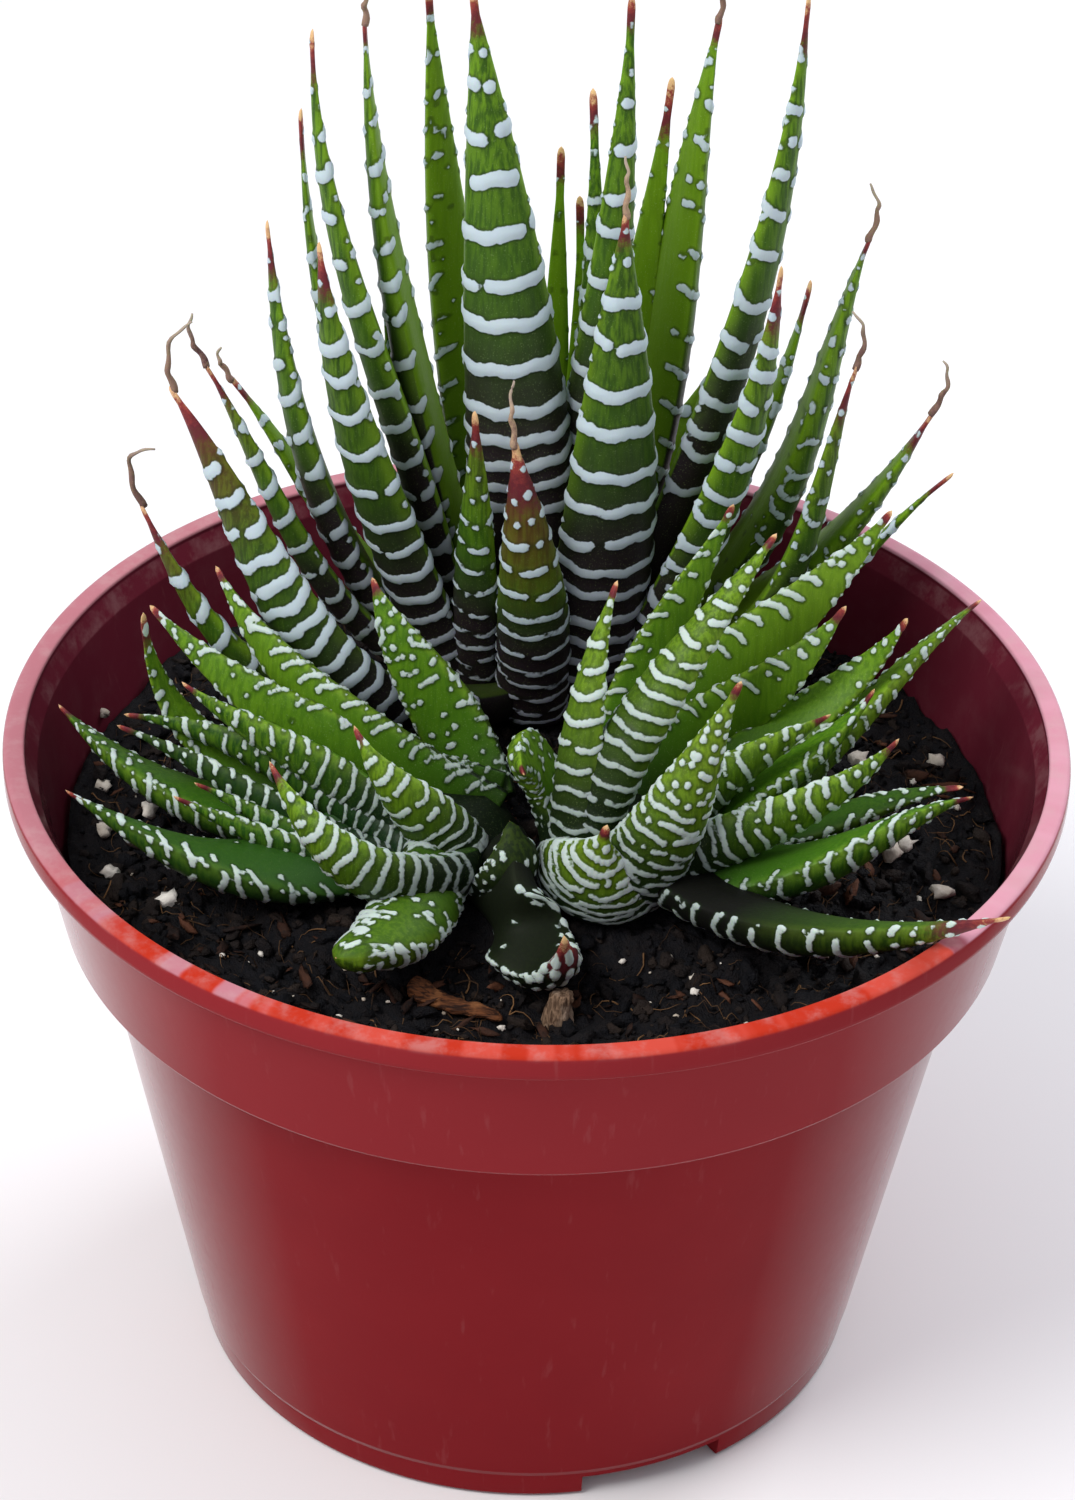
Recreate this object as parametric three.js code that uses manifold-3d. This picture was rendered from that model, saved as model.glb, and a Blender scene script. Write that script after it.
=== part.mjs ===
// A zebra haworthia in its plastic nursery pot, in millimetres, with +Z up.
// The origin is the middle of the pot's foot, on the surface that the pot stands on.
// +X is to the right and +Y to the back, seen from the side that shows the low leaves.
import * as THREE from "three";
import { mergeVertices } from "three/addons/utils/BufferGeometryUtils.js";
import Module from "manifold-3d";

const wasm = await Module();
wasm.setup();

// Pot: a lip, a tapered collar, a step in to the body, and a low foot ring.
const lipRadius = 54;
const lipInside = 51.8;
const lipHeight = 2.7;
const lipRound = 0.6;
const potHeight = 73;
const collarTop = 52;
const collarBottom = 48.9;
const collarHeight = 18.5;
const bodyTop = 45.7;
const bodyBottom = 36.5;
const footTop = 36.1;
const footRadius = 35.7;
const footHeight = 3.5;
const footWidth = 1.8;
const wall = 1.4;
const ledgeTop = potHeight - collarHeight + wall;
const ledgeSlope = 0.4;
const floorThickness = 1.5;
const footRound = 0.4;
const potSides = 56;

// Drain: three notches in the foot ring, and round holes in the floor between them and the middle.
const notchAngles = [-67, 53, 173];
const notchSpan = 25;
const notchHeight = 2.5;
const drainCircle = 26;
const drainRadius = 3.2;
const cutOver = 1;

// Potting mix
const soilLevel = 62;
const soilLump = 0.5;
const lumpPeak = 1.6;
const backDip = 1.6;
const dipStart = 30;
const dipEnd = 65;
const frontHollow = 3;
const hollowPlace = [0, -28];
const hollowCore = 7;
const hollowReach = 20;
const firmEdge = 1.5;
const looseEdge = 9.5;
const soilRings = 10;
const soilSides = 56;
const clearance = 0.35;

// Each rosette has a short stem that stands in a plain hole, and a crown that carries the leaves.
const stemRadius = 5;
const stemDepth = 8;
const stemSides = 16;
const crownRound = 1.5;
const crownFlare = 0.4;
const crownEdge = 2;
const crownShoulder = 4.5;
const crownDome = 7;
const crowns = {
  back: { x: 0, y: 26, radius: 12.5 },
  left: { x: -8.5, y: -9, radius: 7.6 },
  right: { x: 9, y: -10, radius: 7.8 },
};

// Leaf section: flat inside, keeled outside, with raised bands across the outside.
const outsideDepth = 0.36;
const insideDepth = 0.12;
const keelSpread = 0.24;
const fullAt = 0.72;
const taperPower = 0.95;
const leastOutside = 0.4;
const leastInside = 0.22;
const upwardFacing = 0.5;
const rootLift = 1.7;
const leanLift = 0.45;
const tipWidth = 0.9;
const bandHeight = 0.4;
const bandPitch = 6.5;
const fewestBands = 4;
const mostBands = 8;
const fullBandWidth = 4;

// Dried thread: how far it turns inward and upward, and how thin it ends
const threadInward = 0.6;
const threadUpward = 0.9;
const threadEnd = 0.7;

// Two bumps that bow the spine by up to their own size, a third and two thirds of the way along
const bumpScale = 27 / 4;
const spineStep = 0.01;

// A leaf row holds: its place, the distance of its root from the middle of the crown, the compass
// direction that its inner face looks in (0 is +X, 90 is +Y), its tip to the right, to the back and
// above the soil from the middle of the crown, its width, how far it bows outward low down and
// high up, how far it sways sideways, and the length of the dried thread on its tip.
const backLeaves = [
  ["tallest", 7, 85, -8, -2, 80.5, 11, 0, 1, -1, 0],
  ["front right", 7, 120, 7.5, -8, 60, 11, 2.5, 0.5, 0, 6],
  ["left tall", 6, -8, -18.5, 0, 76.5, 7, 0, 1.5, 0, 4.5],
  ["back left tall", 5, -60, -12.5, 5, 77.5, 6.5, 2.5, 1.5, 0, 0],
  ["left slim", 8, 15, -23.5, -2, 76, 6.5, -1.5, 2.5, 0, 0],
  ["left slim low", 8, -10, -25, 2, 65.5, 4, 2.5, 2.5, 0, 0],
  ["front left", 10, 30, -22.5, -12, 58, 9.5, 0, 1.5, 0, 0],
  ["left outer", 11, 15, -28.5, 1, 53.5, 6.5, 3, 2, 0, 0],
  ["left outer low", 10.5, 28, -35, -4, 40, 5.5, 3.5, 0.5, 0, 6],
  ["left back low", 9, -15, -33, 2, 35, 4, 2.5, 0, 0, 3.5],
  ["lower left", 11, 62, -37.5, -14, 42.5, 9, 9, 2, -1.5, 6.5],
  ["lowest left", 10, 38, -41, -13, 28.5, 7, 6.5, 4.5, -1, 7],
  ["inner right", 3, 105, 7.5, 1, 79, 6, 1, 3, 0, 0],
  ["back right tall", 6, -135, 16.5, 7, 74.5, 7.5, 3, 0, 0, 4.5],
  ["right tall", 7, 155, 24.5, -2, 81, 8, 1, 2.5, 0, 0],
  ["inner back", 4, -95, 1, 7, 59.5, 3.5, 2, 1, 0, 0],
  ["inner middle", 2, 100, 4, 4, 67.5, 4, 2.5, 3, -1, 0],
  ["inner small", 3, -95, 3, 5, 55, 2.5, 2.5, 1.5, 1, 0],
  ["back right slim", 5, -115, 12, 8, 67, 5, 2, 1.5, 0, 0],
  ["front right outer", 9.5, 147, 23, -9, 55, 8, 1, 2, 0, 0],
  ["right outer", 8.5, 180, 32.5, 1, 53.5, 8, 5, 1, 0, 6],
  ["right outer front", 10.5, 158, 31.5, -6, 42.5, 6, 6, 1.5, 0.5, 6],
  ["right low", 10, 176, 40, -4, 36.5, 6.5, 3, 2, 0, 6],
  ["right lowest", 10, 160, 41.5, -12, 33.5, 4, 4, 0.5, 0, 0],
  ["right back small", 8, -160, 27, 5, 46, 4, 2.5, 2, 0, 0],
  ["front young left", 10, 50, -7, -14, 40.5, 5.5, 0.5, 0, -0.5, 0],
  ["front young", 10, 86, -3, -16, 38.5, 7.6, 0.5, 1, -1, 6],
  ["left dark small", 6, -30, -16.5, 1, 47, 2.5, 2.5, 2, 0, 0],
  ["behind left", 9, -65, -16, 16, 33, 8, 3, 1, 0, 0],
  ["behind", 9, -85, -5, 20, 32, 8, 3, 1, 0, 0],
  ["behind middle", 8, -100, 6, 20, 28, 7, 3, 1, 0, 0],
  ["behind right", 9, -120, 19, 17, 30, 8, 3, 1, 0, 0],
];
const leftLeaves = [
  ["upper", 4.5, -155, -24.5, 17, 24, 6.8, -1.5, -3, -1, 0],
  ["upper right", 6.5, -118, -8.5, 14, 25, 7.5, 2, -1.5, 0, 0],
  ["far left", 6.5, -133, -31, 14, 21, 6.5, -2, -3, -1.5, 0],
  ["far left red", 6.5, -50, -31, 8, 24, 5, 2.5, 6.5, -5, 0],
  ["middle left", 5, 45, -27, 4, 18.5, 7.5, -2, 0, 0, 0],
  ["low left", 6.5, 60, -33.5, 9, 11, 6, -1.5, -2, -0.5, 0],
  ["low left dark", 6.5, 70, -34, 7, 11, 5, 1, -0.5, 0, 0],
  ["left over soil", 6.5, -8, -40.5, 12, 10, 8.5, 2.2, 2, -2.5, 0],
  ["left near soil", 5, 12, -38, -4.5, 11, 9, 3, 1, -5, 0],
  ["short left", 6.5, 40, -25.5, -2, 10.5, 5, 1, 0, 0, 0],
  ["short left front", 6.5, 45, -27.5, -3, 9.5, 5, 1, 0.5, 0, 0],
  ["front fat", 6.5, 90, -17.5, -8, 17.5, 8.8, 3.5, 3.5, -1, 0],
  ["front banded", 5.5, 100, -9.5, -3, 18.5, 7.8, -1, 2.5, -1, 0],
  ["front blunt", 2, 55, -10.3, -23.4, 5.4, 7.8, -0.3, 0.2, -3.2, 0],
  ["end on", 6.8, 122, 6, -8, 11, 6.5, 1, 1.5, 0, 0],
  ["red tip", 6.8, 129, 11.5, -22.4, 8, 8.4, -1, 5.8, 2.3, 0],
];
const rightLeaves = [
  ["left upright", 6, 40, -1.5, 6, 31, 6.8, 0.5, 1, 0, 0],
  ["back left", 5, -64, 10, 16, 34, 5.8, 4, 0.5, 0, 0],
  ["front upright", 5, 40, 14, 9, 35, 6.2, 3.5, 1, 0, 0],
  ["back wide", 6.5, -78, 26, 18, 32.5, 7.6, 5.5, -3, 0, 0],
  ["back right", 6.5, -82, 21.5, 11, 25.5, 7, 5, -3.5, 1, 0],
  ["right edge on", 6.5, -140, 27.5, 9, 25.5, 6, -0.5, 3, -0.5, 0],
  ["right far", 6.5, 180, 35.5, 16, 23.5, 6, 1.5, -0.5, 0, 0],
  ["front dense", 6, 85, 10.5, -6, 27.5, 9.4, 2, 0.5, 0, 0],
  ["right dotted", 5.5, 118, 20, 2, 18.5, 7, -2.5, -1, 0, 0],
  ["right inner", 6, 180, 24.5, 6, 19, 6.5, -0.5, 1, 0, 0],
  ["right banded", 6.5, 108, 26.5, -2, 18.5, 7.5, -0.5, 1.5, 0, 0],
  ["low right", 5, 160, 34, -4.5, 13.5, 8.6, 3.5, -0.5, 3, 0],
  ["low right dark", 6.5, 180, 33.5, 0, 11.5, 5, 1.5, -0.5, -0.5, 0],
  ["over the lip", 6.7, 127, 35.5, -28.5, 16.8, 8, 2.6, 1.5, 1, 0],
  ["bent over", 6, -15, -10.2, -4.5, 14.8, 6.5, 0, 1, 5, 0],
  ["front horn", 6.5, 66, -2, -11.4, 14, 13, 0, 0.8, 0, 0],
];

// Leaves with a taper of their own: the share of the length where they are full, the power of the
// taper, and the width of their end.
const ownTapers = {
  "front fat": [1, 0.9, 0.9],
  "front banded": [1, 1, 0.9],
  "left upright": [0.85, 1, 0.9],
  "front dense": [1, 1.15, 0.9],
  "front blunt": [0.35, 0.9, 5.5],
  "end on": [0.5, 0.9, 2.6],
  "red tip": [0.5, 0.9, 1.6],
  "bent over": [0.5, 1, 1.6],
  "front horn": [0.95, 1.75, 1.1],
};

// Dead leaf: lies on the potting mix at the front left.
const deadFrom = [-12, -27.8];
const deadTo = [-2.7, -31];
const deadWidth = 3;
const deadThickness = 1.5;
const deadLift = 0.7;

// Boolean helpers
function solid(geometry) {
  const bare = new THREE.BufferGeometry();
  bare.setAttribute("position", geometry.getAttribute("position").clone());
  if (geometry.index) bare.setIndex(geometry.index.clone());
  const merged = mergeVertices(bare, 1e-4);
  return new wasm.Manifold(
    new wasm.Mesh({
      numProp: 3,
      vertProperties: new Float32Array(merged.getAttribute("position").array),
      triVerts: new Uint32Array(merged.index.array),
    }),
  );
}

function geometryOf(body) {
  const mesh = body.getMesh();
  const geometry = new THREE.BufferGeometry();
  geometry.setAttribute("position", new THREE.BufferAttribute(mesh.vertProperties, 3));
  geometry.setIndex(new THREE.BufferAttribute(mesh.triVerts, 1));
  geometry.computeVertexNormals();
  return geometry;
}

// A ring of points about the Z axis, turned to a solid; the profile is [radius, height] pairs.
function turned(profile, sides) {
  const points = profile.map(([radius, height]) => new THREE.Vector2(radius, height));
  const lathe = new THREE.LatheGeometry(points, sides);
  lathe.rotateX(Math.PI / 2);
  return solid(lathe);
}

function extruded(shape, depth, segments) {
  return new THREE.ExtrudeGeometry(shape, { depth, bevelEnabled: false, curveSegments: segments });
}

// Closed skin over rings of points that share one count, with a flat cap at each end.
function lofted(rings) {
  const count = rings[0].length;
  const positions = rings.flat().flatMap((point) => point.toArray());
  const index = [];
  for (let ring = 0; ring + 1 < rings.length; ring++) {
    for (let side = 0; side < count; side++) {
      const next = (side + 1) % count;
      const a = ring * count + side;
      const b = ring * count + next;
      const c = a + count;
      const d = b + count;
      index.push(a, b, d, a, d, c);
    }
  }
  const last = (rings.length - 1) * count;
  for (let side = 1; side + 1 < count; side++) {
    index.push(0, side + 1, side);
    index.push(last, last + side, last + side + 1);
  }
  const geometry = new THREE.BufferGeometry();
  geometry.setAttribute("position", new THREE.Float32BufferAttribute(positions, 3));
  geometry.setIndex(index);
  return solid(geometry);
}

// Radius of the collar's inner wall at a height
function collarInside(height) {
  const share = (height - potHeight + collarHeight) / (collarHeight - lipHeight);
  return collarBottom + (collarTop - collarBottom) * share - wall;
}

// Pot
function potBody() {
  const lipBottom = potHeight - lipHeight;
  const collarFoot = potHeight - collarHeight;
  const profile = [
    [0, footHeight],
    [footRadius - footWidth, footHeight],
    [footRadius - footWidth, 0],
    [footRadius, 0],
    [footTop, footHeight - footRound],
    [bodyBottom, footHeight + footRound],
    [bodyTop, collarFoot],
    [collarBottom - lipRound, collarFoot],
    [collarBottom, collarFoot + lipRound],
    [collarTop, lipBottom],
    [lipRadius - lipRound / 2, lipBottom],
    [lipRadius, lipBottom + lipRound],
    [lipRadius, potHeight - lipRound],
    [lipRadius - lipRound, potHeight],
    [lipInside + lipRound, potHeight],
    [lipInside, potHeight - lipRound],
    [collarTop - wall, lipBottom],
    [collarInside(ledgeTop), ledgeTop],
    [bodyTop - wall, ledgeTop - ledgeSlope],
    [bodyBottom - wall, footHeight + floorThickness],
    [0, footHeight + floorThickness],
  ];
  let body = turned(profile, potSides);
  for (const angle of notchAngles) {
    const middle = THREE.MathUtils.degToRad(angle);
    const half = THREE.MathUtils.degToRad(notchSpan / 2);
    const sector = new THREE.Shape();
    sector.absarc(0, 0, footRadius + cutOver, middle - half, middle + half, false);
    sector.absarc(0, 0, footRadius - footWidth - cutOver, middle + half, middle - half, true);
    sector.closePath();
    const notch = extruded(sector, notchHeight + cutOver, 6);
    notch.translate(0, 0, -cutOver);
    body = body.subtract(solid(notch));
    const hole = new THREE.CylinderGeometry(drainRadius, drainRadius, floorThickness * 3, 16);
    hole.rotateX(Math.PI / 2);
    hole.translate(
      drainCircle * Math.cos(middle),
      drainCircle * Math.sin(middle),
      footHeight + floorThickness / 2,
    );
    body = body.subtract(solid(hole));
  }
  return body;
}

// Height of the potting mix: flat and firm round each crown, lumpy elsewhere, with a dip at the
// back right and a hollow in front.
function soilHeight(x, y) {
  const lumps =
    Math.sin(x * 0.31 + 1.1) * Math.cos(y * 0.27 - 0.6) +
    0.6 * Math.sin(x * 0.63 - y * 0.48 + 2.0);
  const fromCrown = Math.min(
    ...Object.values(crowns).map(
      (crown) => Math.hypot(x - crown.x, y - crown.y) - crown.radius,
    ),
  );
  const loose = THREE.MathUtils.smoothstep(fromCrown, firmEdge, looseEdge);
  const dip = backDip * THREE.MathUtils.smoothstep(x + y, dipStart, dipEnd);
  const fromHollow = Math.hypot(x - hollowPlace[0], y - hollowPlace[1]);
  const hollow = frontHollow * (1 - THREE.MathUtils.smoothstep(fromHollow, hollowCore, hollowReach));
  return soilLevel + loose * (soilLump * (lumps - lumpPeak) - dip - hollow);
}

function soilBody() {
  const floor = footHeight + floorThickness + clearance;
  const edge = collarInside(soilLevel - 2 * backDip) - clearance;
  const rings = [];
  const ring = (radius, height) =>
    Array.from({ length: soilSides }, (_, side) => {
      const angle = (side / soilSides) * 2 * Math.PI;
      const x = radius * Math.cos(angle);
      const y = radius * Math.sin(angle);
      return new THREE.Vector3(x, y, height ?? soilHeight(x, y));
    });
  rings.push(ring(bodyBottom - wall - clearance, floor));
  rings.push(ring(bodyTop - wall - clearance, ledgeTop - ledgeSlope + clearance));
  rings.push(ring(collarInside(ledgeTop) - clearance, ledgeTop + clearance));
  for (let step = 0; step < soilRings; step++) {
    rings.push(ring(edge * (1 - step / soilRings)));
  }
  rings.push(ring(0.5));
  let body = lofted(rings);
  for (const crown of Object.values(crowns)) {
    const depth = stemDepth + clearance;
    const radius = stemRadius + clearance;
    const hole = new THREE.CylinderGeometry(radius, radius, depth + 4, stemSides);
    hole.rotateX(Math.PI / 2);
    hole.translate(crown.x, crown.y, soilLevel + 2 - depth / 2);
    body = body.subtract(solid(hole));
  }
  return body;
}

// Stem and crown of a rosette, from the bottom of its hole up to a low dome
function crownBody(crown) {
  const flare = soilLevel + 2 * clearance;
  const profile = [
    [0, soilLevel - stemDepth],
    [stemRadius, soilLevel - stemDepth],
    [stemRadius, flare],
    [crown.radius - crownRound, flare + crownFlare],
    [crown.radius, flare + crownEdge],
    [crown.radius - crownRound, flare + crownShoulder],
    [0, flare + crownDome],
  ];
  return turned(profile, stemSides).translate(crown.x, crown.y, 0);
}

// Leaf: a keeled blade on a curved spine, with raised bands across its outer face
function leafBody(crown, row) {
  const [place, out, faces, right, back, up, width, bow, curl, sway, dry] = row;
  const compass = THREE.MathUtils.degToRad(faces);
  const inward = new THREE.Vector3(Math.cos(compass), Math.sin(compass), 0);
  const middle = new THREE.Vector3(crown.x, crown.y, soilLevel);
  const tip = middle.clone().add(new THREE.Vector3(right, back, up));
  const root = middle.clone().addScaledVector(inward, -out);
  const span = tip.clone().sub(root);
  const lean = Math.hypot(span.x, span.y) / span.length();
  root.z += rootLift + leanLift * width * lean;
  const chord = tip.clone().sub(root);
  const length = chord.length();
  const along = chord.clone().normalize();
  const facing = inward.clone().setZ(upwardFacing);
  const inner = facing.clone().addScaledVector(along, -facing.dot(along)).normalize();
  const side = along.clone().cross(inner);

  const spine = (t) => {
    const low = bumpScale * t * (1 - t) ** 2;
    const high = bumpScale * t * t * (1 - t);
    return root
      .clone()
      .addScaledVector(chord, t)
      .addScaledVector(inner, -(low * bow + high * curl))
      .addScaledVector(side, 4 * t * (1 - t) * sway);
  };
  const section = (centre, direction, wide, ridge) => {
    const normal = facing.clone().addScaledVector(direction, -facing.dot(direction)).normalize();
    const across = direction.clone().cross(normal);
    const keel = -(Math.max(leastOutside, outsideDepth * wide) + ridge);
    const corners = [
      [0, Math.max(leastInside, insideDepth * wide)],
      [wide / 2, 0],
      [keelSpread * wide, keel],
      [-keelSpread * wide, keel],
      [-wide / 2, 0],
    ];
    return corners.map(([sideways, inwards]) =>
      centre.clone().addScaledVector(across, sideways).addScaledVector(normal, inwards),
    );
  };

  const [taperLength, power, endWidth] = ownTapers[place] ?? [fullAt, taperPower, tipWidth];
  const bands = THREE.MathUtils.clamp(Math.round(length / bandPitch), fewestBands, mostBands);
  const stations = 2 * bands + 1;
  const rings = [];
  for (let step = 0; step < stations; step++) {
    const t = step / (stations - 1);
    const direction = spine(Math.min(t + spineStep, 1))
      .sub(spine(Math.max(t - spineStep, 0)))
      .normalize();
    const fromTip = Math.min(1, (1 - t) / taperLength);
    const wide = Math.max(endWidth, width * Math.sin((fromTip * Math.PI) / 2) ** power);
    const ridge = step % 2 === 1 ? bandHeight * Math.min(1, wide / fullBandWidth) : 0;
    rings.push(section(spine(t), direction, wide, ridge));
  }
  if (dry > 0) {
    const direction = spine(1).sub(spine(1 - 2 * spineStep)).normalize();
    const turn = inner.clone().multiplyScalar(threadInward).setZ(threadUpward).normalize();
    const bend = direction.clone().add(turn).normalize();
    const half = spine(1).addScaledVector(direction, dry / 2);
    rings.push(section(half, bend, tipWidth, 0));
    const end = half.clone().addScaledVector(turn, dry / 2);
    rings.push(section(end, turn, threadEnd * tipWidth, 0));
  }
  return lofted(rings);
}

// Leaves and crown grown together; a pocket that is closed in between their roots is filled.
function rosetteBody(crown, leaves) {
  const joined = leaves.reduce((body, row) => body.add(leafBody(crown, row)), crownBody(crown));
  return joined
    .decompose()
    .filter((body) => body.volume() > 0)
    .reduce((body, other) => body.add(other));
}

// Dead leaf: a thin crumpled blade that tapers to its tip and follows the potting mix
function deadLeafBody() {
  const stations = 9;
  const direction = new THREE.Vector3(deadTo[0] - deadFrom[0], deadTo[1] - deadFrom[1], 0);
  const across = new THREE.Vector3(-direction.y, direction.x, 0).normalize();
  const rings = [];
  for (let step = 0; step < stations; step++) {
    const t = step / (stations - 1);
    const x = deadFrom[0] + direction.x * t;
    const y = deadFrom[1] + direction.y * t;
    const wide = deadWidth * (1 - 0.7 * t) * (step % 2 ? 0.85 : 1);
    const thick = deadThickness * (1 - 0.5 * t);
    const bottom = soilHeight(x, y) + deadLift;
    const corners = [
      [-wide / 2, thick * 0.3],
      [-wide / 4, 0],
      [wide / 4, 0],
      [wide / 2, thick * 0.4],
      [wide / 5, thick],
      [-wide / 4, thick * 0.8],
    ];
    rings.push(
      corners.map(([sideways, rise]) =>
        new THREE.Vector3(x, y, bottom + rise).addScaledVector(across, sideways),
      ),
    );
  }
  return lofted(rings);
}

// Colours and finishes
const plastic = new THREE.MeshStandardMaterial({ color: 0x882e33, roughness: 0.35, metalness: 0 });
const mix = new THREE.MeshStandardMaterial({ color: 0x2a2422, roughness: 0.95, metalness: 0 });
const darkLeaf = new THREE.MeshStandardMaterial({ color: 0x4d6a26, roughness: 0.45, metalness: 0 });
const limeLeaf = new THREE.MeshStandardMaterial({ color: 0x6a9430, roughness: 0.45, metalness: 0 });
const driedLeaf = new THREE.MeshStandardMaterial({ color: 0x6b4226, roughness: 0.8, metalness: 0 });

function mesh(name, body, material) {
  const made = new THREE.Mesh(geometryOf(body), material);
  made.name = name;
  return made;
}

const plant = new THREE.Group();
plant.add(
  mesh("rosette_back", rosetteBody(crowns.back, backLeaves), darkLeaf),
  mesh("rosette_left", rosetteBody(crowns.left, leftLeaves), limeLeaf),
  mesh("rosette_right", rosetteBody(crowns.right, rightLeaves), limeLeaf),
);

const pottedHaworthia = new THREE.Group();
pottedHaworthia.add(
  mesh("pot", potBody(), plastic),
  mesh("soil", soilBody(), mix),
  mesh("dead_leaf", deadLeafBody(), driedLeaf),
  plant,
);

export default pottedHaworthia;
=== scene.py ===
# %% [markdown]
# # A zebra haworthia in its nursery pot
#
# The real object is a small succulent: one tall rosette at the back and two low ones in front,
# in a red-brown moulded pot filled with dark potting mix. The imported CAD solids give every
# piece its place and size. This lesson puts the finished surfaces around them: leaves with
# raised white bands, crumbly potting mix, and plastic with a soft gloss.

# %% Load the frame
import math
import random

import bmesh
import bpy
import numpy as np
from mathutils import Matrix, Vector, noise


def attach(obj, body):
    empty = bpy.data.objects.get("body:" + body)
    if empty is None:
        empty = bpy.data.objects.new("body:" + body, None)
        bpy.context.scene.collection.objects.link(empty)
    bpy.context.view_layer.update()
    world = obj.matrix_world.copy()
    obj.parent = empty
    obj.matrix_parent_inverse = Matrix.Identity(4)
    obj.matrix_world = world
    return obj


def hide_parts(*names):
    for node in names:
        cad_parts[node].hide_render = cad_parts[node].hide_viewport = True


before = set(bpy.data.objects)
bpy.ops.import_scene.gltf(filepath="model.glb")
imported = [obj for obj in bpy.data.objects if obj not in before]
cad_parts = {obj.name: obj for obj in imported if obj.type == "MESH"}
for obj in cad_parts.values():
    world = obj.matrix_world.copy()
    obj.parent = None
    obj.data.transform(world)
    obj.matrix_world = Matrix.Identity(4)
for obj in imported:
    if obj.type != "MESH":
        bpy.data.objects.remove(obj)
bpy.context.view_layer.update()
mm = 0.001
print("CAD nodes:", sorted(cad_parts))

# %% [markdown]
# ## Camera
#
# The plant was looked at from above the front edge of the pot. A long lens far away keeps the
# pot's ellipse right. The camera could be placed by hand in the viewport, but writing its place
# and its aim as numbers keeps the view the same on every run.

# %% Camera
camera_place = Vector((0.0, -0.35106, 0.31203))
camera_aim = Vector((0.00006, 0.0, 0.06983))
camera_roll = math.radians(1.3845)
camera_data = bpy.data.cameras.new("camera")
camera_data.sensor_fit = "VERTICAL"
camera_data.sensor_height = 36.0
camera_data.sensor_width = 36.0
camera_data.lens = 100.42
camera = bpy.data.objects.new("camera", camera_data)
looking = (camera_aim - camera_place).to_track_quat("-Z", "Y").to_matrix().to_4x4()
camera.matrix_world = Matrix.Translation(camera_place) @ looking @ Matrix.Rotation(camera_roll, 4, "Z")
bpy.context.scene.collection.objects.link(camera)
bpy.context.scene.camera = camera
print("camera is", round((camera_aim - camera_place).length, 3), "m from its aim")

# %% [markdown]
# ## Floor and sky
#
# Soft daylight comes from everywhere, because the room around the plant is bright. A pale floor
# and a pale sky do the same. A photographed sky would light it too, but it would also be
# mirrored in the pot, and it would be one more file to carry along.

# %% Floor and sky
floor_reach = 6.0
floor_top = -0.0003
floor_mesh = bpy.data.meshes.new("floor")
floor_corners = [(-1, -1), (1, -1), (1, 1), (-1, 1)]
floor_mesh.from_pydata(
    [(x * floor_reach, y * floor_reach, floor_top) for x, y in floor_corners], [], [(0, 1, 2, 3)]
)
floor_finish = bpy.data.materials.new("pale floor")
floor_finish.use_nodes = True
floor_shader = floor_finish.node_tree.nodes["Principled BSDF"]
floor_shader.inputs["Base Color"].default_value = (0.86, 0.86, 0.87, 1)
floor_shader.inputs["Roughness"].default_value = 0.6
floor_mesh.materials.append(floor_finish)
floor = bpy.data.objects.new("floor", floor_mesh)
bpy.context.scene.collection.objects.link(floor)

sky = bpy.data.worlds.new("pale sky")
bpy.context.scene.world = sky
sky.use_nodes = True
sky_light = sky.node_tree.nodes["Background"].inputs
sky_light["Color"].default_value = (0.94, 0.935, 1.0, 1)
sky_light["Strength"].default_value = 0.62
bpy.context.scene.view_settings.view_transform = "Standard"
print("floor is", 2 * floor_reach, "m wide")

# %% [markdown]
# ## Two large lights
#
# The daylight is a little stronger from the upper left. Two large round area lights add that. A
# single lamp would be simpler, but it would leave hard shadows between the leaves that a bright
# room doesn't have.


# %% Area lights
def area_light(name, place, aim, size, power, colour):
    data = bpy.data.lights.new(name, "AREA")
    data.shape = "DISK"
    data.size = size
    data.energy = power
    data.color = colour
    light = bpy.data.objects.new(name, data)
    light.location = place
    light.rotation_euler = (Vector(aim) - Vector(place)).to_track_quat("-Z", "Y").to_euler()
    bpy.context.scene.collection.objects.link(light)
    print(name, "light of", power, "W")


area_light("key", (-0.42, -0.30, 0.72), (0, 0, 0.07), 0.45, 5.2, (1.0, 0.985, 0.96))
area_light("rim", (0.45, 0.42, 0.50), (0, 0, 0.08), 0.40, 3.0, (0.95, 0.97, 1.0))

# %% [markdown]
# ## Helpers for meshes
#
# Each piece is made from lists of points and faces that numpy works out at once. Blender's
# modifiers could bend and array a leaf too, but then no leaf would know how far a point is from
# its own white bands. Here every point can carry such values, as named attributes.


# %% A piece from points and faces
def make_piece(name, points, faces, material, values=None, replaced=(), slot=None):
    """A smooth object in metres from points in mm, riding on the one body."""
    mesh = bpy.data.meshes.new(name)
    mesh.from_pydata((np.asarray(points) * mm).tolist(), [], faces)
    mesh.polygons.foreach_set("use_smooth", np.ones(len(mesh.polygons), dtype=bool))
    for key, numbers in (values or {}).items():
        attribute = mesh.attributes.new(key, "FLOAT", "POINT")
        attribute.data.foreach_set("value", np.asarray(numbers, dtype=np.float32))
    mesh.validate()
    mesh.update()
    mesh.materials.append(material)
    piece = bpy.data.objects.new(name, mesh)
    bpy.context.scene.collection.objects.link(piece)
    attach(piece, "root")
    if replaced:
        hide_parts(*replaced)
    triangles = sum(len(polygon.vertices) - 2 for polygon in mesh.polygons)
    print(name, "has", triangles, "triangles")
    return piece


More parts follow.
